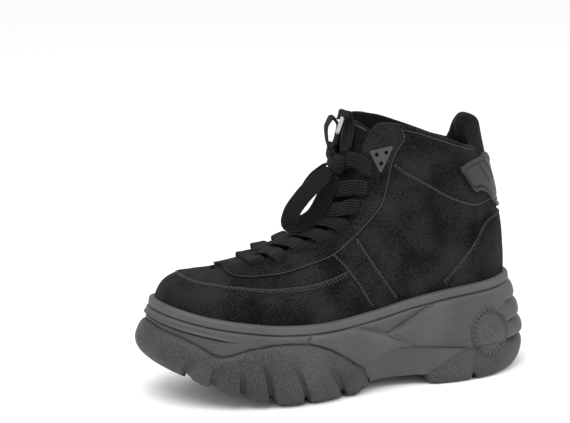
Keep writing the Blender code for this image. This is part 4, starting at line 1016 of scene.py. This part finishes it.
class BOOT_OT_stage(bpy.types.Operator):
    """Pale floor, white surround, two soft lights and the camera at the photograph's angle"""
    bl_idname = "boot.stage"
    bl_label = "Stage"

    def execute(self, context):
        scene, stage = context.scene, context.scene.boot_stage
        mesh = bpy.data.meshes.new("floor")
        reach = 6.0
        mesh.from_pydata([(-reach, -reach, 0), (reach, -reach, 0), (reach, reach, 0), (-reach, reach, 0)],
                         [], [(0, 1, 2, 3)])
        mesh.materials.append(plain("white paper", paint("#f6f6f6"), 0.9))
        floor = bpy.data.objects.new("floor", mesh)
        scene.collection.objects.link(floor)
        world = bpy.data.worlds.new("white surround")
        world.use_nodes = True
        world.node_tree.nodes["Background"].inputs["Color"].default_value = (1, 1, 1, 1)
        world.node_tree.nodes["Background"].inputs["Strength"].default_value = stage.sky
        scene.world = world
        scene.view_settings.view_transform = "Standard"
        key = place_light("key light", (-0.55, -0.55, 1.15), (0, 0, 0.08), 0.9, stage.key_power)
        fill = place_light("fill light", (0.75, -0.85, 0.75), (0, 0, 0.08), 0.8, stage.fill_power)
        camera = bpy.data.objects.new("camera", bpy.data.cameras.new("camera"))
        a, e = stage.azimuth, stage.elevation
        back = Vector((-np.sin(a) * np.cos(e), -np.cos(a) * np.cos(e), np.sin(e)))
        camera.location = Vector(CAMERA_AIM) + back * stage.distance
        camera.rotation_mode = "QUATERNION"
        turn = (-back).to_track_quat("-Z", "Y")
        camera.rotation_quaternion = turn @ Quaternion((0, 0, 1), stage.roll)
        camera.data.sensor_width = 36.0
        camera.data.lens = stage.lens
        camera.data.clip_start, camera.data.clip_end = 0.05, 50.0
        scene.collection.objects.link(camera)
        scene.camera = camera
        return {"FINISHED"}


class BOOT_OT_upper(bpy.types.Operator):
    """Hollow suede upper with its lining: wall thickness set inward, top line rolled over by a half circle"""
    bl_idname = "boot.upper"
    bl_label = "Upper"

    def execute(self, context):
        at = np.concatenate([np.linspace(0, THROAT_START, 71)[:-1], np.linspace(THROAT_START, 1, 186)])
        s = at[:, None]
        v = crowded(82, low=False)[None]
        # the wall thickens to the padded collar, the heel tab and its rolled top
        pad = np.clip((s - 0.72) / 0.05, 0, 1) * np.clip((v - 0.62) / 0.2, 0, 1)
        tab = ramp(s - 0.915, 0.035) * np.clip((v - 0.75) / 0.2, 0, 1)
        roll = ramp(s - 0.955, 0.04) * np.clip((v - 0.78) / 0.18, 0, 1)
        wall = WALL + COLLAR_PAD * pad + TAB_PAD * tab + ROLL_PAD * roll
        grids = []
        for side in SIDES:
            base, normal = skin(s, v, side)
            run = run_along(base, 1)
            # within half a thickness of the top line both faces close by a circle
            left = run[:, -1:] - run
            open_share = ramp(s - THROAT_START - 0.010, 0.010)
            turn = open_share * np.clip(1 - left / (wall / 2), 0, 1)
            half = wall / 2 * np.sqrt(1 - turn**2)
            grids.append((base - normal * (wall / 2 - half)[..., None],
                          base - normal * (wall / 2 + half)[..., None]))
        (top_l, low_l), (top_m, low_m) = grids
        rows = mirrored((at, at))
        points, faces = shell_parts(mirrored((top_l, top_m)), mirrored((low_l, low_m)), joined=("0-", "0+"),
                                    walled=rows > THROAT_START - 1e-6)
        inner = ~((rows[:-1, None] > LINING_ROLL[0]) & (v[:, :-1] > LINING_ROLL[1]))
        lined = np.zeros(len(faces))
        lined[inner.size:2 * inner.size] = inner.ravel()
        put("suede_upper", points, faces,
            [look("split suede, brushed"), look("pile lining")], ["upper"], "black_suede", second=lined)
        return {"FINISHED"}


class BOOT_OT_overlays(bpy.types.Operator):
    """Suede panels laid over the upper: toe guard, lace stay, side bands and heel counter"""
    bl_idname = "boot.overlays"
    bl_label = "Suede panels"

    def execute(self, context):
        suede = look("split suede, brushed")

        at = np.linspace(0, GUARD_END, 150)
        s, v = strip(at, 0 * at, eased(GUARD_EDGE, 1, at, 0.012), crowded(34, low=False))
        rear = np.clip((at - 0.30) / (GUARD_END - 0.30), 0, 1)[:, None]
        s = s + rear * (np.interp(v, BAND_EDGES[:, 0], BAND_EDGES[:, 1]) + 0.004 - GUARD_END)
        grids = raised_sheet(s, v, ("1+",), SIDES, SHEET_LOW, 0.0012, extra=valley)
        self.joined("suede_toe_guard", grids, suede, "toe_guard")

        at = STAY_EDGE[0, 0] + (STAY_EDGE[-1, 0] - STAY_EDGE[0, 0]) * crowded(170)
        s, v = strip(at, eased(STAY_EDGE, 1, at, 0.006), 1, crowded(44))
        parts = []
        open_row = np.clip((at - THROAT_START) / 0.01, 0, 1)
        for side in SIDES:
            base, normal = skin(s, v, side)
            outer = np.minimum(edge_distance(base, ("1-", "0+", "0-")), 1)
            throat = edge_distance(base, ("1+",)) + 0.01 * (1 - open_row[:, None])
            away = np.clip(np.minimum(outer, throat) / 0.0009, 0, 1)
            lift = SHEET_LOW + 0.0024 * quarter(away) + valley(np.minimum(outer, throat))
            parts.append(shell_parts(base + normal * lift[..., None], base + normal * SHEET_LOW,
                                     walled=at > THROAT_START - 0.004))
        points, faces = gather(parts)
        put("suede_lace_stay", points, faces, suede, ["lace_stay"], "black_suede")

        v = (0.67 * np.linspace(0, 1, 60))[None]
        share = crowded(22)[:, None]
        front = np.interp(v, BAND_EDGES[:, 0], BAND_EDGES[:, 1])
        rear = np.interp(v, BAND_EDGES[:, 0], BAND_EDGES[:, 2])
        s = front + (rear - front) * share
        for side, name in ((LATERAL, "side_band_outer"), (MEDIAL, "side_band_inner")):
            tops, lows = raised_sheet(s, np.broadcast_to(v, s.shape), ("0-", "0+"), (side,), SHEET_LOW,
                                      0.0016, extra=valley)
            put(f"suede_{name}", *shell_parts(tops[0], lows[0]), suede, [name], "black_suede")

        at = 1 - 0.248 * np.linspace(0, 1, 110)
        s, v = strip(at, 0 * at, eased(COUNTER_EDGE, 1, at, 0.010), crowded(40, low=False))
        grids = raised_sheet(s, v, ("1+",), SIDES, SHEET_LOW, 0.0013, extra=valley)
        self.joined("suede_heel_counter", grids, suede, "heel_counter")
        return {"FINISHED"}

    def joined(self, name, grids, finish, node):
        """Both halves as one sheet, joined in the middle of the boot."""
        put(name, *shell_parts(mirrored(grids[0]), mirrored(grids[1])), finish, [node], "black_suede")


def valley(away):
    """Shallow pulled-in line of the sewing, 2 mm in from an edge."""
    return -0.00022 * bell(away - 0.0020, 0.0006)


class BOOT_OT_trims(bpy.types.Operator):
    """Rubber trims: heel patch with its raised border, triangular lace plates and the heel roundels"""
    bl_idname = "boot.trims"
    bl_label = "Rubber trims"

    def execute(self, context):
        rubber = look("moulded trim rubber")
        at = 1 - (1 - PATCH_EDGES[0, 0]) * crowded(90, low=False)
        s, v = strip(at, eased(PATCH_EDGES, 1, at, 0.003), eased(PATCH_EDGES, 2, at, 0.003), crowded(70))
        tops, lows = [], []
        for side in SIDES:
            base, normal = skin(s, v, side)
            away = edge_distance(base, ("1-", "1+", "0+"))
            # from the edge inward: a rounded border, a groove from 3 mm on, from 4.4 mm on a field half a
            # millimetre lower than the border, and the cut slots with their raised lips
            lift = 0.0001 + 0.0024 * quarter(np.clip(away / 0.0011, 0, 1))
            lift = lift - 0.0014 * ramp(away - 0.0030, 0.0003) + 0.0009 * ramp(away - 0.0044, 0.0004)
            for path in PATCH_SLOTS:
                near = line_distance(s, v, np.array(path), AROUND_MM, SHAFT_MM)
                lift = lift - 0.0011 * ramp(0.75 - near, 0.25) + 0.0003 * bell(near - 1.4, 0.4)
            tops.append(base + normal * lift[..., None])
            lows.append(base + normal * 0.0001)
        put("rubber_heel_patch", *shell_parts(mirrored(tops), mirrored(lows)), rubber, ["heel_patch"],
            "grey_trim_rubber")
        for side, node in ((LATERAL, "lace_plate_outer"), (MEDIAL, "lace_plate_inner")):
            self.plate(side, node, look("moulded plate rubber"))
        for side, node in ((LATERAL, "roundel_outer"), (MEDIAL, "roundel_inner")):
            self.roundel(side, node)
        return {"FINISHED"}

    def plate(self, side, node, rubber):
        """Rounded triangle with three round holes, as a filled outline raised with a rounded rim."""
        corners = upper(PLATE_CORNERS[:, 0], PLATE_CORNERS[:, 1], side)
        middle = corners.mean(axis=0)
        one = unit(corners[0] - corners[1])
        up = unit(np.cross(one, corners[2] - corners[1]))
        inner = upper_normal(*PLATE_CORNERS.mean(axis=0), side)
        up = up if up @ inner > 0 else -up
        two = np.cross(up, one)
        flat = np.column_stack([(corners - middle) @ one, (corners - middle) @ two])
        curve = bpy.data.curves.new("plate outline", "CURVE")
        curve.dimensions = "2D"
        curve.fill_mode = "BOTH"
        curve.extrude = 0.0007
        curve.bevel_depth = 0.0004
        curve.bevel_resolution = 3
        outline = []
        for k in range(3):
            here, before, after = flat[k], flat[k - 1], flat[(k + 1) % 3]
            start = here + unit(before - here) * PLATE_CORNER
            stop = here + unit(after - here) * PLATE_CORNER
            t = np.linspace(0, 1, 9)[:, None]
            outline.append((1 - t) ** 2 * start + 2 * t * (1 - t) * here + t * t * stop)
        angle = np.linspace(0, 2 * np.pi, 28, endpoint=False)
        circle = np.column_stack([np.cos(angle), np.sin(angle)]) * PLATE_HOLE
        rings = [np.concatenate(outline)] + [flat[k] * 0.40 + circle for k in range(3)]
        for ring in rings:
            spline = curve.splines.new("POLY")
            spline.points.add(len(ring) - 1)
            flat_ring = np.column_stack([ring, np.zeros(len(ring)), np.ones(len(ring))])
            spline.points.foreach_set("co", flat_ring.ravel())
            spline.use_cyclic_u = True
        holder = bpy.data.objects.new("plate outline", curve)
        bpy.context.scene.collection.objects.link(holder)
        graph = bpy.context.evaluated_depsgraph_get()
        mesh = bpy.data.meshes.new_from_object(holder.evaluated_get(graph))
        bpy.data.objects.remove(holder, do_unlink=True)
        flat_points = np.empty(3 * len(mesh.vertices))
        mesh.vertices.foreach_get("co", flat_points)
        flat_points = flat_points.reshape(-1, 3)
        bow = 9.0 * (flat_points[:, 0] ** 2 + flat_points[:, 1] ** 2)
        lifted = flat_points[:, 2] + STAY_GAP + OVERLAY + 0.0014 - bow * 0.5
        points = middle + flat_points[:, :1] * one + flat_points[:, 1:2] * two + lifted[:, None] * up
        faces = [tuple(p.vertices) for p in mesh.polygons]
        bpy.data.meshes.remove(mesh)
        put(f"rubber_{node}", points, faces, rubber, [node], "grey_trim_rubber", sharp=0.6)

    def roundel(self, side, node):
        """Round relief of rings and dots: height over radius, bent to the sole's wall."""
        radius = np.linspace(0, 1, 64)[:, None]
        angle = np.linspace(0, 2 * np.pi, 181)[None]
        grid_s = np.linspace(0.70, 0.98, 113)
        run = run_along(wall_point(grid_s, ROUNDEL_Z, side))
        run -= np.interp(ROUNDEL_AT, grid_s, run)
        s = np.interp(ROUNDEL_RADIUS * radius * np.cos(angle), run, grid_s)
        z = ROUNDEL_Z + ROUNDEL_RADIUS * radius * np.sin(angle)
        # mm over share of the radius: raised rings at 0.36 and 0.72, a sunk one at 0.17 in a raised middle
        height = 0.5 + 0.9 * bell(radius - 0.36, 0.035) + 0.5 * ramp(0.30 - radius, 0.03)
        height = height - 0.7 * bell(radius - 0.17, 0.035)
        height = height + 0.7 * bell(radius - 0.72, 0.03)
        dots = ramp(radius - 0.82, 0.03) * ramp(0.97 - radius, 0.03) * ramp(np.cos(ROUNDEL_DOTS * angle), 0.6)
        height = height + 1.4 * dots - 1.0 * ramp(radius - 0.985, 0.012)
        nx, ny = plan_normal(s, side)
        top = off_foot(s, z, side, wall_out(s, z) + back_ribs(s, z) + height / 1000)
        under = top - np.stack([nx, ny, 0 * nx], -1) * (height / 1000 + 0.0012)[..., None]
        shell = shell_parts(top, under, joined=("0-", "1-", "1+"))
        put(f"rubber_{node}", *shell, look("moulded polyurethane"), [node], "grey_smooth_rubber", fill=False)


class BOOT_OT_sole(bpy.types.Operator):
    """Rim, platform and lugged outsoles"""
    bl_idname = "boot.sole"
    bl_label = "Sole"

    def execute(self, context):
        self.rim()
        self.platform()
        self.front()
        self.heel()
        return {"FINISHED"}

    def rim(self):
        """Rim: a beaded profile carried round the foot; below its groove it runs into the platform's wall."""
        at = np.linspace(0, 1, 260)
        profile, _ = curve_through(np.column_stack([RIM_PROFILE, np.zeros(len(RIM_PROFILE))]), 80)
        out, drop = profile[None, :, 0] / 1000, profile[None, :, 1] / 1000
        rings = []
        for side, s in ((LATERAL, at[:, None]), (MEDIAL, at[-2:0:-1, None])):
            z = rim_z(foot(s, side)[0]) - drop
            low = ramp(drop - 0.0068, 0.0005) * (out > 0.003)
            rings.append(off_foot(s, z, side, out + (wall_out(s, z) - out) * low))
        grid = np.concatenate(rings)
        grid = np.concatenate([grid, grid[:1]])
        grid = np.concatenate([grid, grid[:, :1]], axis=1)
        put("rubber_rim", grid.reshape(-1, 3), grid_faces(*grid.shape[:2]), look("moulded rim rubber"),
            ["welt"], "grey_rim_rubber", sharp=1.2)

    def platform(self):
        """Platform: at each arc share a wall from the rim down to its parting line, lofted across."""
        at = np.linspace(0, 1, 420)
        front = eased(PARTING, 1, at, 0.004) / 1000
        back = eased(HEEL_PARTING, 1, at, 0.004) / 1000
        arch = np.maximum(eased(GROUND_LINE, 1, at), ARCH_HEIGHT * 1000) / 1000
        low = np.where(at < 0.54, front, np.where(at < HEEL_FRONT[0], arch, back))
        share = np.linspace(1, 0, 64)[None]
        sides = []
        for side in SIDES:
            top = rim_z(foot(at, side)[0])
            high = top - WELT_HEIGHT + GAP
            z = low[:, None] + (high - low)[:, None] * share
            wall = wall_point(at[:, None], z, side)
            lip = [off_foot(at, top - drop, side, SEAT_OUT)[:, None]
                   for drop in (TUCK + GAP, WELT_HEIGHT - GAP)]
            sides.append(np.concatenate(lip + [wall], axis=1))
        left, right = sides
        under = between(left[:, -1], right[:, -1], np.linspace(0.1, 0.9, 9))
        put("smooth_platform", *loft(left, right, under), look("moulded polyurethane"), ["midsole"],
            "grey_smooth_rubber")

    def front(self):
        """Lugged front: columns lean along the grooves, whose depth is a bell across them."""
        groove_deep = bpy.context.scene.boot_sizes.lug_groove
        base = np.linspace(0, TREAD_END, 330)
        leaned = smooth_open(LEAN_FROM, LEAN_TO, base)
        top_z = eased(PARTING, 1, leaned, 0.004) / 1000 - TREAD_GAP
        low_z = eased(GROUND_LINE, 1, base) / 1000
        gap = base[:, None] - LUG_GROOVES[None, :, 0]
        gap = np.take_along_axis(gap, np.argmin(np.abs(gap), axis=1)[:, None], 1)[:, 0] * AROUND_MM
        away = np.abs(gap)
        reach = np.interp(base, LUG_GROOVES[:, 0], LUG_GROOVES[:, 2]) / 1000
        groove = np.where(gap < 0, ramp(1.7 - away, 1.0), bell(away, 2.6))
        t = np.concatenate([1 - crowded(50, low=False) * 0.84, np.linspace(0.16, 0, 20)[1:]])[None]
        t = np.clip(t, 0, 1)
        z = low_z[:, None] + (top_z - low_z)[:, None] * t
        lean = np.clip((z - low_z[:, None]) / np.maximum(reach - low_z, 0.006)[:, None], 0, 1)
        s = base[:, None] + (leaned - base)[:, None] * lean
        pillow = np.cos(np.clip(away / 11.0, 0, 1) * np.pi)
        cut = groove[:, None] * np.sqrt(1 - lean) * groove_deep
        cut = cut + 0.0006 * pillow[:, None] * (1 - lean) * (base[:, None] > 0.12)
        height = z - low_z[:, None]
        lift = 0.0052 * groove[:, None] * (1 - lean) ** 3
        sides = [wall_point(s, z + lift, side, -cut - rounded(height, LUG_EDGE))
                 for side in SIDES]
        self.tread("grained_front_outsole", "outsole_front", sides, groove, 0.05)

    def heel(self):
        """Heel lug: its front end rises as a quarter circle, its low edge is rounded, one groove cuts it."""
        base = np.linspace(HEEL_FRONT[0], 1, 200)
        top_z = eased(HEEL_PARTING, 1, base, 0.004) / 1000 - TREAD_GAP
        nose = np.clip((base - HEEL_FRONT[0]) / 0.026, 0, 1)
        low_z = 0.0085 * (1 - quarter(nose))
        back = np.clip((base - 0.90) / 0.10, 0, 1)
        away = np.min(np.abs(base[:, None] - np.array(HEEL_GROOVES)[None]), axis=1) * AROUND_MM
        groove = ramp(1.8 - away, 1.0)
        t = np.concatenate([1 - crowded(30, low=False) * 0.8, np.linspace(0.2, 0, 16)[1:]])[None]
        z = low_z[:, None] + (top_z - low_z)[:, None] * t
        height = z - low_z[:, None]
        edge = LUG_EDGE * (1 - 0.4 * back)[:, None]
        lean = np.clip(height / 0.013, 0, 1)
        cut = groove[:, None] * np.sqrt(1 - lean) * 0.0024
        lift = 0.0045 * groove[:, None] * (1 - lean) ** 3
        sides = [wall_point(base[:, None], z + lift, side, -cut - rounded(height, edge))
                 for side in SIDES]
        self.tread("grained_heel_outsole", "outsole_heel", sides, groove, 0.06)

    def tread(self, name, node, sides, groove, width):
        """Closes a lugged outsole: straight lines across below, with a shallow bell-shaped channel."""
        left, right = sides
        shares = np.linspace(0, 1, 40)[1:-1]
        under = between(left[:, -1], right[:, -1], shares)
        under[..., 2] += TREAD_CHANNEL * bell(shares - 0.5, width)[None] * (1 - groove[:, None])
        put(name, *loft(left, right, under), look("grained tread rubber"), [node], "grey_tread_rubber",
            sharp=1.2)


class BOOT_OT_tongue(bpy.types.Operator):
    """Padded tongue under the laces, with a rolled and stitched top, and the footbed"""
    bl_idname = "boot.tongue"
    bl_label = "Tongue and footbed"

    def execute(self, context):
        at = np.linspace(*TONGUE, 120)
        under = WALL + GAP
        tuck = np.interp(at, [0.30, 0.40, 0.62, 0.72], [0.93, 0.90, 0.88, 0.88])
        rows = []
        for side in SIDES:
            pad = COLLAR_PAD * np.clip((at - 0.70) / 0.05, 0, 1)
            edge = upper(at, np.full_like(at, 1.0), side)
            edge = edge - upper_normal(at, np.full_like(at, 0.995), side) * (under + pad + 0.0012)[:, None]
            deep = upper(at, tuck, side) - upper_normal(at, tuck, side) * (under + pad + 0.0004)[:, None]
            rows.append((deep, edge))
        (deep_l, edge_l), (deep_m, edge_m) = rows
        middle = (edge_l + edge_m) / 2
        lift = unit(np.cross(edge_m - edge_l, np.gradient(middle, axis=0)))
        lift *= np.sign(lift[:, 2:3] - 0.2 * lift[:, :1])
        # across: flaps tucked under the quarters, and between them a parabola that bows up
        width = np.linalg.norm(edge_m - edge_l, axis=1)[:, None]
        line = [deep_l + (edge_l - deep_l) * share for share in (0.0, 0.33, 0.66, 1.0)]
        for share in np.linspace(0, 1, 27)[1:-1]:
            bow = 4 * share * (1 - share) * (0.10 + 0.03 * ramp(at - 0.68, 0.05)[:, None]) * width
            line.append(edge_l + (edge_m - edge_l) * share + lift * bow)
        line += [edge_m + (deep_m - edge_m) * share for share in (0.0, 0.33, 0.66, 1.0)]
        grid = np.stack(line, axis=1)
        # above the laces it runs on straight, higher in the middle by a sine
        run = grid[-1:] - grid[-9:-8]
        arc = np.sin(np.linspace(0, np.pi, grid.shape[1]))[None, :, None]
        more = [grid[-1:] + run * share * (0.12 + 0.22 * arc) for share in np.linspace(0, 1, 14)[1:]]
        grid = np.concatenate([grid] + more)
        normal = unit(np.cross(np.gradient(grid, axis=0), np.gradient(grid, axis=1)))
        normal *= np.sign(np.sum(normal[60, 16] * lift[60]))
        thick = np.interp(np.arange(len(grid)), [0, 45, 85, 120, 133],
                          [0.0020, 0.0026, 0.0040, 0.0042, 0.0042])
        away = np.clip(edge_distance(grid, ("0+", "1-", "1+")) / (thick[:, None] / 2), 0, 1)
        half = thick[:, None] / 2 * quarter(away)
        top = grid - normal * (thick[:, None] / 2 - half)[..., None]
        low = grid - normal * (thick[:, None] / 2 + half)[..., None]
        put("padded_tongue", *shell_parts(top, low), look("split suede, brushed"), ["tongue"], "black_lining")
        hem = grid[-9, 4:-4] + normal[-9, 4:-4] * 0.0001
        put("tongue_hem", *tube(hem, 0.0005), look("suede cut edge"), slot="black_lining")
        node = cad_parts["insole"]
        node.data.materials.clear()
        node.data.materials.append(look("pile lining"))
        return {"FINISHED"}


class BOOT_OT_seams(bpy.types.Operator):
    """Cut edges of the suede as thin pale lines, and the rows of stitches beside them"""
    bl_idname = "boot.seams"
    bl_label = "Seams"

    def execute(self, context):
        sizes = context.scene.boot_sizes
        edges, threads = [], []
        for path, lift, size_b, rows, start, stop in SEAMS:
            for side in SIDES:
                if lift > 0:
                    s, v = seam_line(path, 0.0, 220, size_b, start, stop)
                    line, _ = on_skin(s, v, side, lift / 1000)
                    edges.append(tube(line, EDGE_RADIUS))
                for offset in rows:
                    s, v = seam_line(path, offset, 300, size_b, start, stop)
                    line, normal = on_skin(s, np.minimum(v, 0.99), side, STITCH_LIFT)
                    threads.append(stitches(line, normal, sizes.stitch_pitch,
                                            sizes.stitch_pitch * STITCH_SHARE, sizes.stitch_radius))
        put("seam_edges", *gather(edges), look("suede cut edge"), slot="black_suede")
        put("seam_stitches", *gather(threads), look("waxed thread"), slot="black_suede")
        return {"FINISHED"}


def dive(rows, k, side, lift):
    """End of a lace bar: slanting from the throat's edge over the stay, then down into its eyelet."""
    step = rows[1] - rows[0]
    v0, slant = EYELET_V[k], BAR_SLANT[k] * step
    line = []
    for share, rise in ((1.0, lift), (0.62, lift), (0.30, lift),
                        (0.12, 0.0032), (0.02, 0.0012), (-0.03, -0.0018)):
        s, v = rows[k] + slant * (1 - 1.6 * share), v0 + (1 - v0) * share
        line.append(upper(s, v, side) + upper_normal(s, min(v, 0.99), side) * rise)
    line[0] = line[0] + (line[0] - line[1]) * 0.25
    return line


def bar(line, way, first):
    """Puffed flat lace along the line, pinched at its last end, and at its first by that share."""
    line, _ = curve_through(np.array(line), 56)
    share = np.linspace(0, 1, len(line))
    pinch = bell(1 - share, 0.04) + first * bell(share, 0.04)
    plump = bell(1 - share - 0.20, 0.15) + first * bell(share - 0.20, 0.15)
    return flat_lace(line, np.broadcast_to(way, line.shape), BAR_WIDTH * (1.06 - 0.45 * pinch),
                     LACE_THICK * (1.15 + 0.9 * plump))


class BOOT_OT_laces(bpy.types.Operator):
    """Flat knitted laces: bars crossing the throat and diving into the stay, knot, loops and ends"""
    bl_idname = "boot.laces"
    bl_label = "Laces"

    def execute(self, context):
        knit = look("knitted cotton lace")
        width = context.scene.boot_sizes.lace_width
        rows = lace_rows()
        base = STAY_GAP + OVERLAY + 3 * GAP + LACE_THICK / 2
        bars, spots = [], []
        for k in range(LACE_ROWS - 1):
            hump = INSTEP_LIFT * np.exp(-(((rows[k] + rows[k + 1]) / 2 - INSTEP_AT) / 0.06) ** 2)
            for start, lift in ((LATERAL, base + hump), (MEDIAL, base + hump + 2 * GAP)):
                over = dive(rows, k + 1, -start, lift)
                edge = upper(rows[k], 1.0, start)
                rise = (upper_normal(rows[k], 0.99, start) + upper_normal(rows[k + 1], 0.99, -start)) / 2
                across = over[0] - edge
                crest = lift / 2 + 0.05 * np.linalg.norm(across)
                line = [edge - rise * BAR_UNDER, edge + across * 0.22 - rise * 0.3 * BAR_UNDER,
                        (edge + over[0]) / 2 + rise * crest] + over
                way = upper(rows[k + 1], 1.0, start) - upper(rows[k], 1.0, start)
                points, faces, spot = bar(line, way, 0.0)
                bars.append((points, faces))
                spots.append(spot + 20.0 * len(bars))
        line = dive(rows, 0, LATERAL, base)[::-1] + dive(rows, 0, MEDIAL, base)
        points, faces, spot = bar(line, upper(rows[1], 1.0, LATERAL) - upper(rows[0], 1.0, LATERAL), 1.0)
        bars.append((points, faces))
        spots.append(spot)
        points, faces = gather(bars)
        put("lace_bars", points, faces, knit, ["lace_crossings"], "black_lace", uv=np.concatenate(spots))
        self.eyelets(rows)

        made = {}
        for name, route, axis, turned in CORDS:
            route = LACE_DATUM + np.array(route) / 1000
            line, length = curve_through(route, 120)
            share = np.linspace(0, 1, len(line))
            tight = 1 - 0.35 * bell(share, 0.05)
            if name.startswith("lace_loop"):
                tight = tight - 0.35 * bell(1 - share, 0.05)
            full = 1.35 if turned[0] else 1.1
            points, faces, spot = flat_lace(line, lace_widths(line, axis, turned), width * tight * full,
                                            LACE_THICK * 1.25)
            made[name] = put(f"soft_{name}", points, faces, knit, [name], "black_lace", uv=spot)
            made[name + "_line"] = (line, length)
        knot = self.knot(knit)
        tips = {}
        for node, cord in (("aglet_top", "lace_end_top"), ("aglet_low", "lace_end_low")):
            line, _ = made[cord + "_line"]
            way = unit(line[-1] - line[-6])
            rod = line[-1] + way * np.linspace(-0.001, AGLET_LENGTH, 24)[:, None]
            size = AGLET_RADIUS * np.interp(np.arange(24), [0, 1, 22, 23], [0.5, 1.0, 0.95, 0.7])
            tips[cord] = put(f"clear_{node}", *tube(rod, size, 16), look("clear lace tip"), [node],
                             "clear_lace_tip")
        for name, far in (("lace_loop_front", "knot"), ("lace_loop_top", "knot"),
                          ("lace_end_top", "bare"), ("lace_end_low", "bare")):
            line, length = made[name + "_line"]
            pieces = [tips[name]] if name in tips else []
            if name == "lace_loop_front":
                pieces.append(knot)
        return {"FINISHED"}

    def eyelets(self, rows):
        """Painted shade where the laces go into the stay: dark rounded rings in the lining's colour, lying on
        the leather round each lace.
        """
        rings = []
        for side in SIDES:
            for s, v in zip(rows + BAR_SLANT * (rows[1] - rows[0]), EYELET_V):
                centre, normal = on_skin(np.array([s]), np.array([v]), side, 0.0016)
                along = unit(upper(s + 0.01, 0.9, side) - upper(s - 0.01, 0.9, side))
                across = np.cross(along, normal[0])
                angle = np.linspace(0, 2 * np.pi, 25)[:, None]
                line = centre + along * np.cos(angle) * 0.0042 + across * np.sin(angle) * 0.0016
                rings.append(tube(line, 0.0005))
        # the dark rings are painted shade of the gap round each lace; no hole is cut in the stay
        put("eyelet_shade_rings", *gather(rings), look("pile lining"), slot="black_suede")

    def knot(self, knit):
        """Pulled knot: a small squared core with two turns of the lace laid over it, crossing."""
        centre = LACE_DATUM + np.array(KNOT_CENTRE) / 1000
        half = np.array(KNOT_HALF) / 1000
        polar = np.linspace(0, np.pi, 40)[:, None]
        turn = np.linspace(0, 2 * np.pi, 61)[None]
        way = np.stack(np.broadcast_arrays(np.sin(polar) * np.cos(turn), np.cos(polar),
                                           np.sin(polar) * np.sin(turn)), -1)
        squared = np.sign(way) * np.abs(way) ** 0.8
        dent = 1 - 0.16 * np.abs(np.cos(2.0 * polar + 1.5 * turn))[..., None] ** 3
        core = centre + squared * half * dent * (0.72, 0.66, 0.74)
        spot = np.stack(np.broadcast_arrays(turn * 5.5, polar * 8.0), -1).reshape(-1, 2)
        parts, spots = [(core, grid_faces(*core.shape[:2]))], [spot]
        angle = np.linspace(0.3, 2 * np.pi + 0.3, 70)
        for axis, size in (((-0.15, 0.55, -0.80), 0.78), ((0.85, 0.25, 0.45), 0.70)):
            axis = unit(np.array(axis))
            one = unit(np.cross(axis, LACE_FACE))
            ring = one * np.cos(angle)[:, None] + np.cross(axis, one) * np.sin(angle)[:, None]
            wrap = centre + ring * half * size
            wrap_points, wrap_faces, wrap_spot = flat_lace(wrap, np.broadcast_to(axis, wrap.shape),
                                                           0.0078, 0.0022)
            parts.append((wrap_points, wrap_faces))
            spots.append(wrap_spot)
        points, faces = gather(parts)
        return put("soft_lace_knot", points, faces, knit, ["lace_knot"], "black_lace",
                   uv=np.concatenate(spots))


class BOOT_PT_panel(bpy.types.Panel):
    """Lists the boot's pieces, sizes, colours and stage"""
    bl_label = "Platform boot"
    bl_idname = "BOOT_PT_panel"
    bl_space_type = "VIEW_3D"
    bl_region_type = "UI"
    bl_category = "Boot"

    def draw(self, context):
        for group in ("boot_sizes", "boot_colours", "boot_stage"):
            box = self.layout.box()
            for key in getattr(context.scene, group).bl_rna.properties.keys():
                if key not in ("rna_type", "name"):
                    box.prop(getattr(context.scene, group), key)
        for operator in OPERATORS:
            self.layout.operator(operator.bl_idname)


OPERATORS = (BOOT_OT_sole, BOOT_OT_upper, BOOT_OT_overlays, BOOT_OT_trims, BOOT_OT_tongue, BOOT_OT_seams,
             BOOT_OT_laces, BOOT_OT_stage)
CLASSES = (BootColours, BootSizes, StageSettings) + OPERATORS + (BOOT_PT_panel,)


def register():
    """Adds the classes, and the panel's values to the scene."""
    for made in CLASSES:
        bpy.utils.register_class(made)
    bpy.types.Scene.boot_colours = bpy.props.PointerProperty(type=BootColours)
    bpy.types.Scene.boot_sizes = bpy.props.PointerProperty(type=BootSizes)
    bpy.types.Scene.boot_stage = bpy.props.PointerProperty(type=StageSettings)


def unregister():
    """Takes the values and the classes out again."""
    for key in ("boot_stage", "boot_sizes", "boot_colours"):
        delattr(bpy.types.Scene, key)
    for made in reversed(CLASSES):
        bpy.utils.unregister_class(made)


def main():
    """Builds every piece and the stage."""
    register()
    bpy.ops.boot.sole()
    bpy.ops.boot.upper()
    bpy.ops.boot.overlays()
    bpy.ops.boot.trims()
    bpy.ops.boot.tongue()
    bpy.ops.boot.seams()
    bpy.ops.boot.laces()
    bpy.ops.boot.stage()


if __name__ == "__main__":
    main()
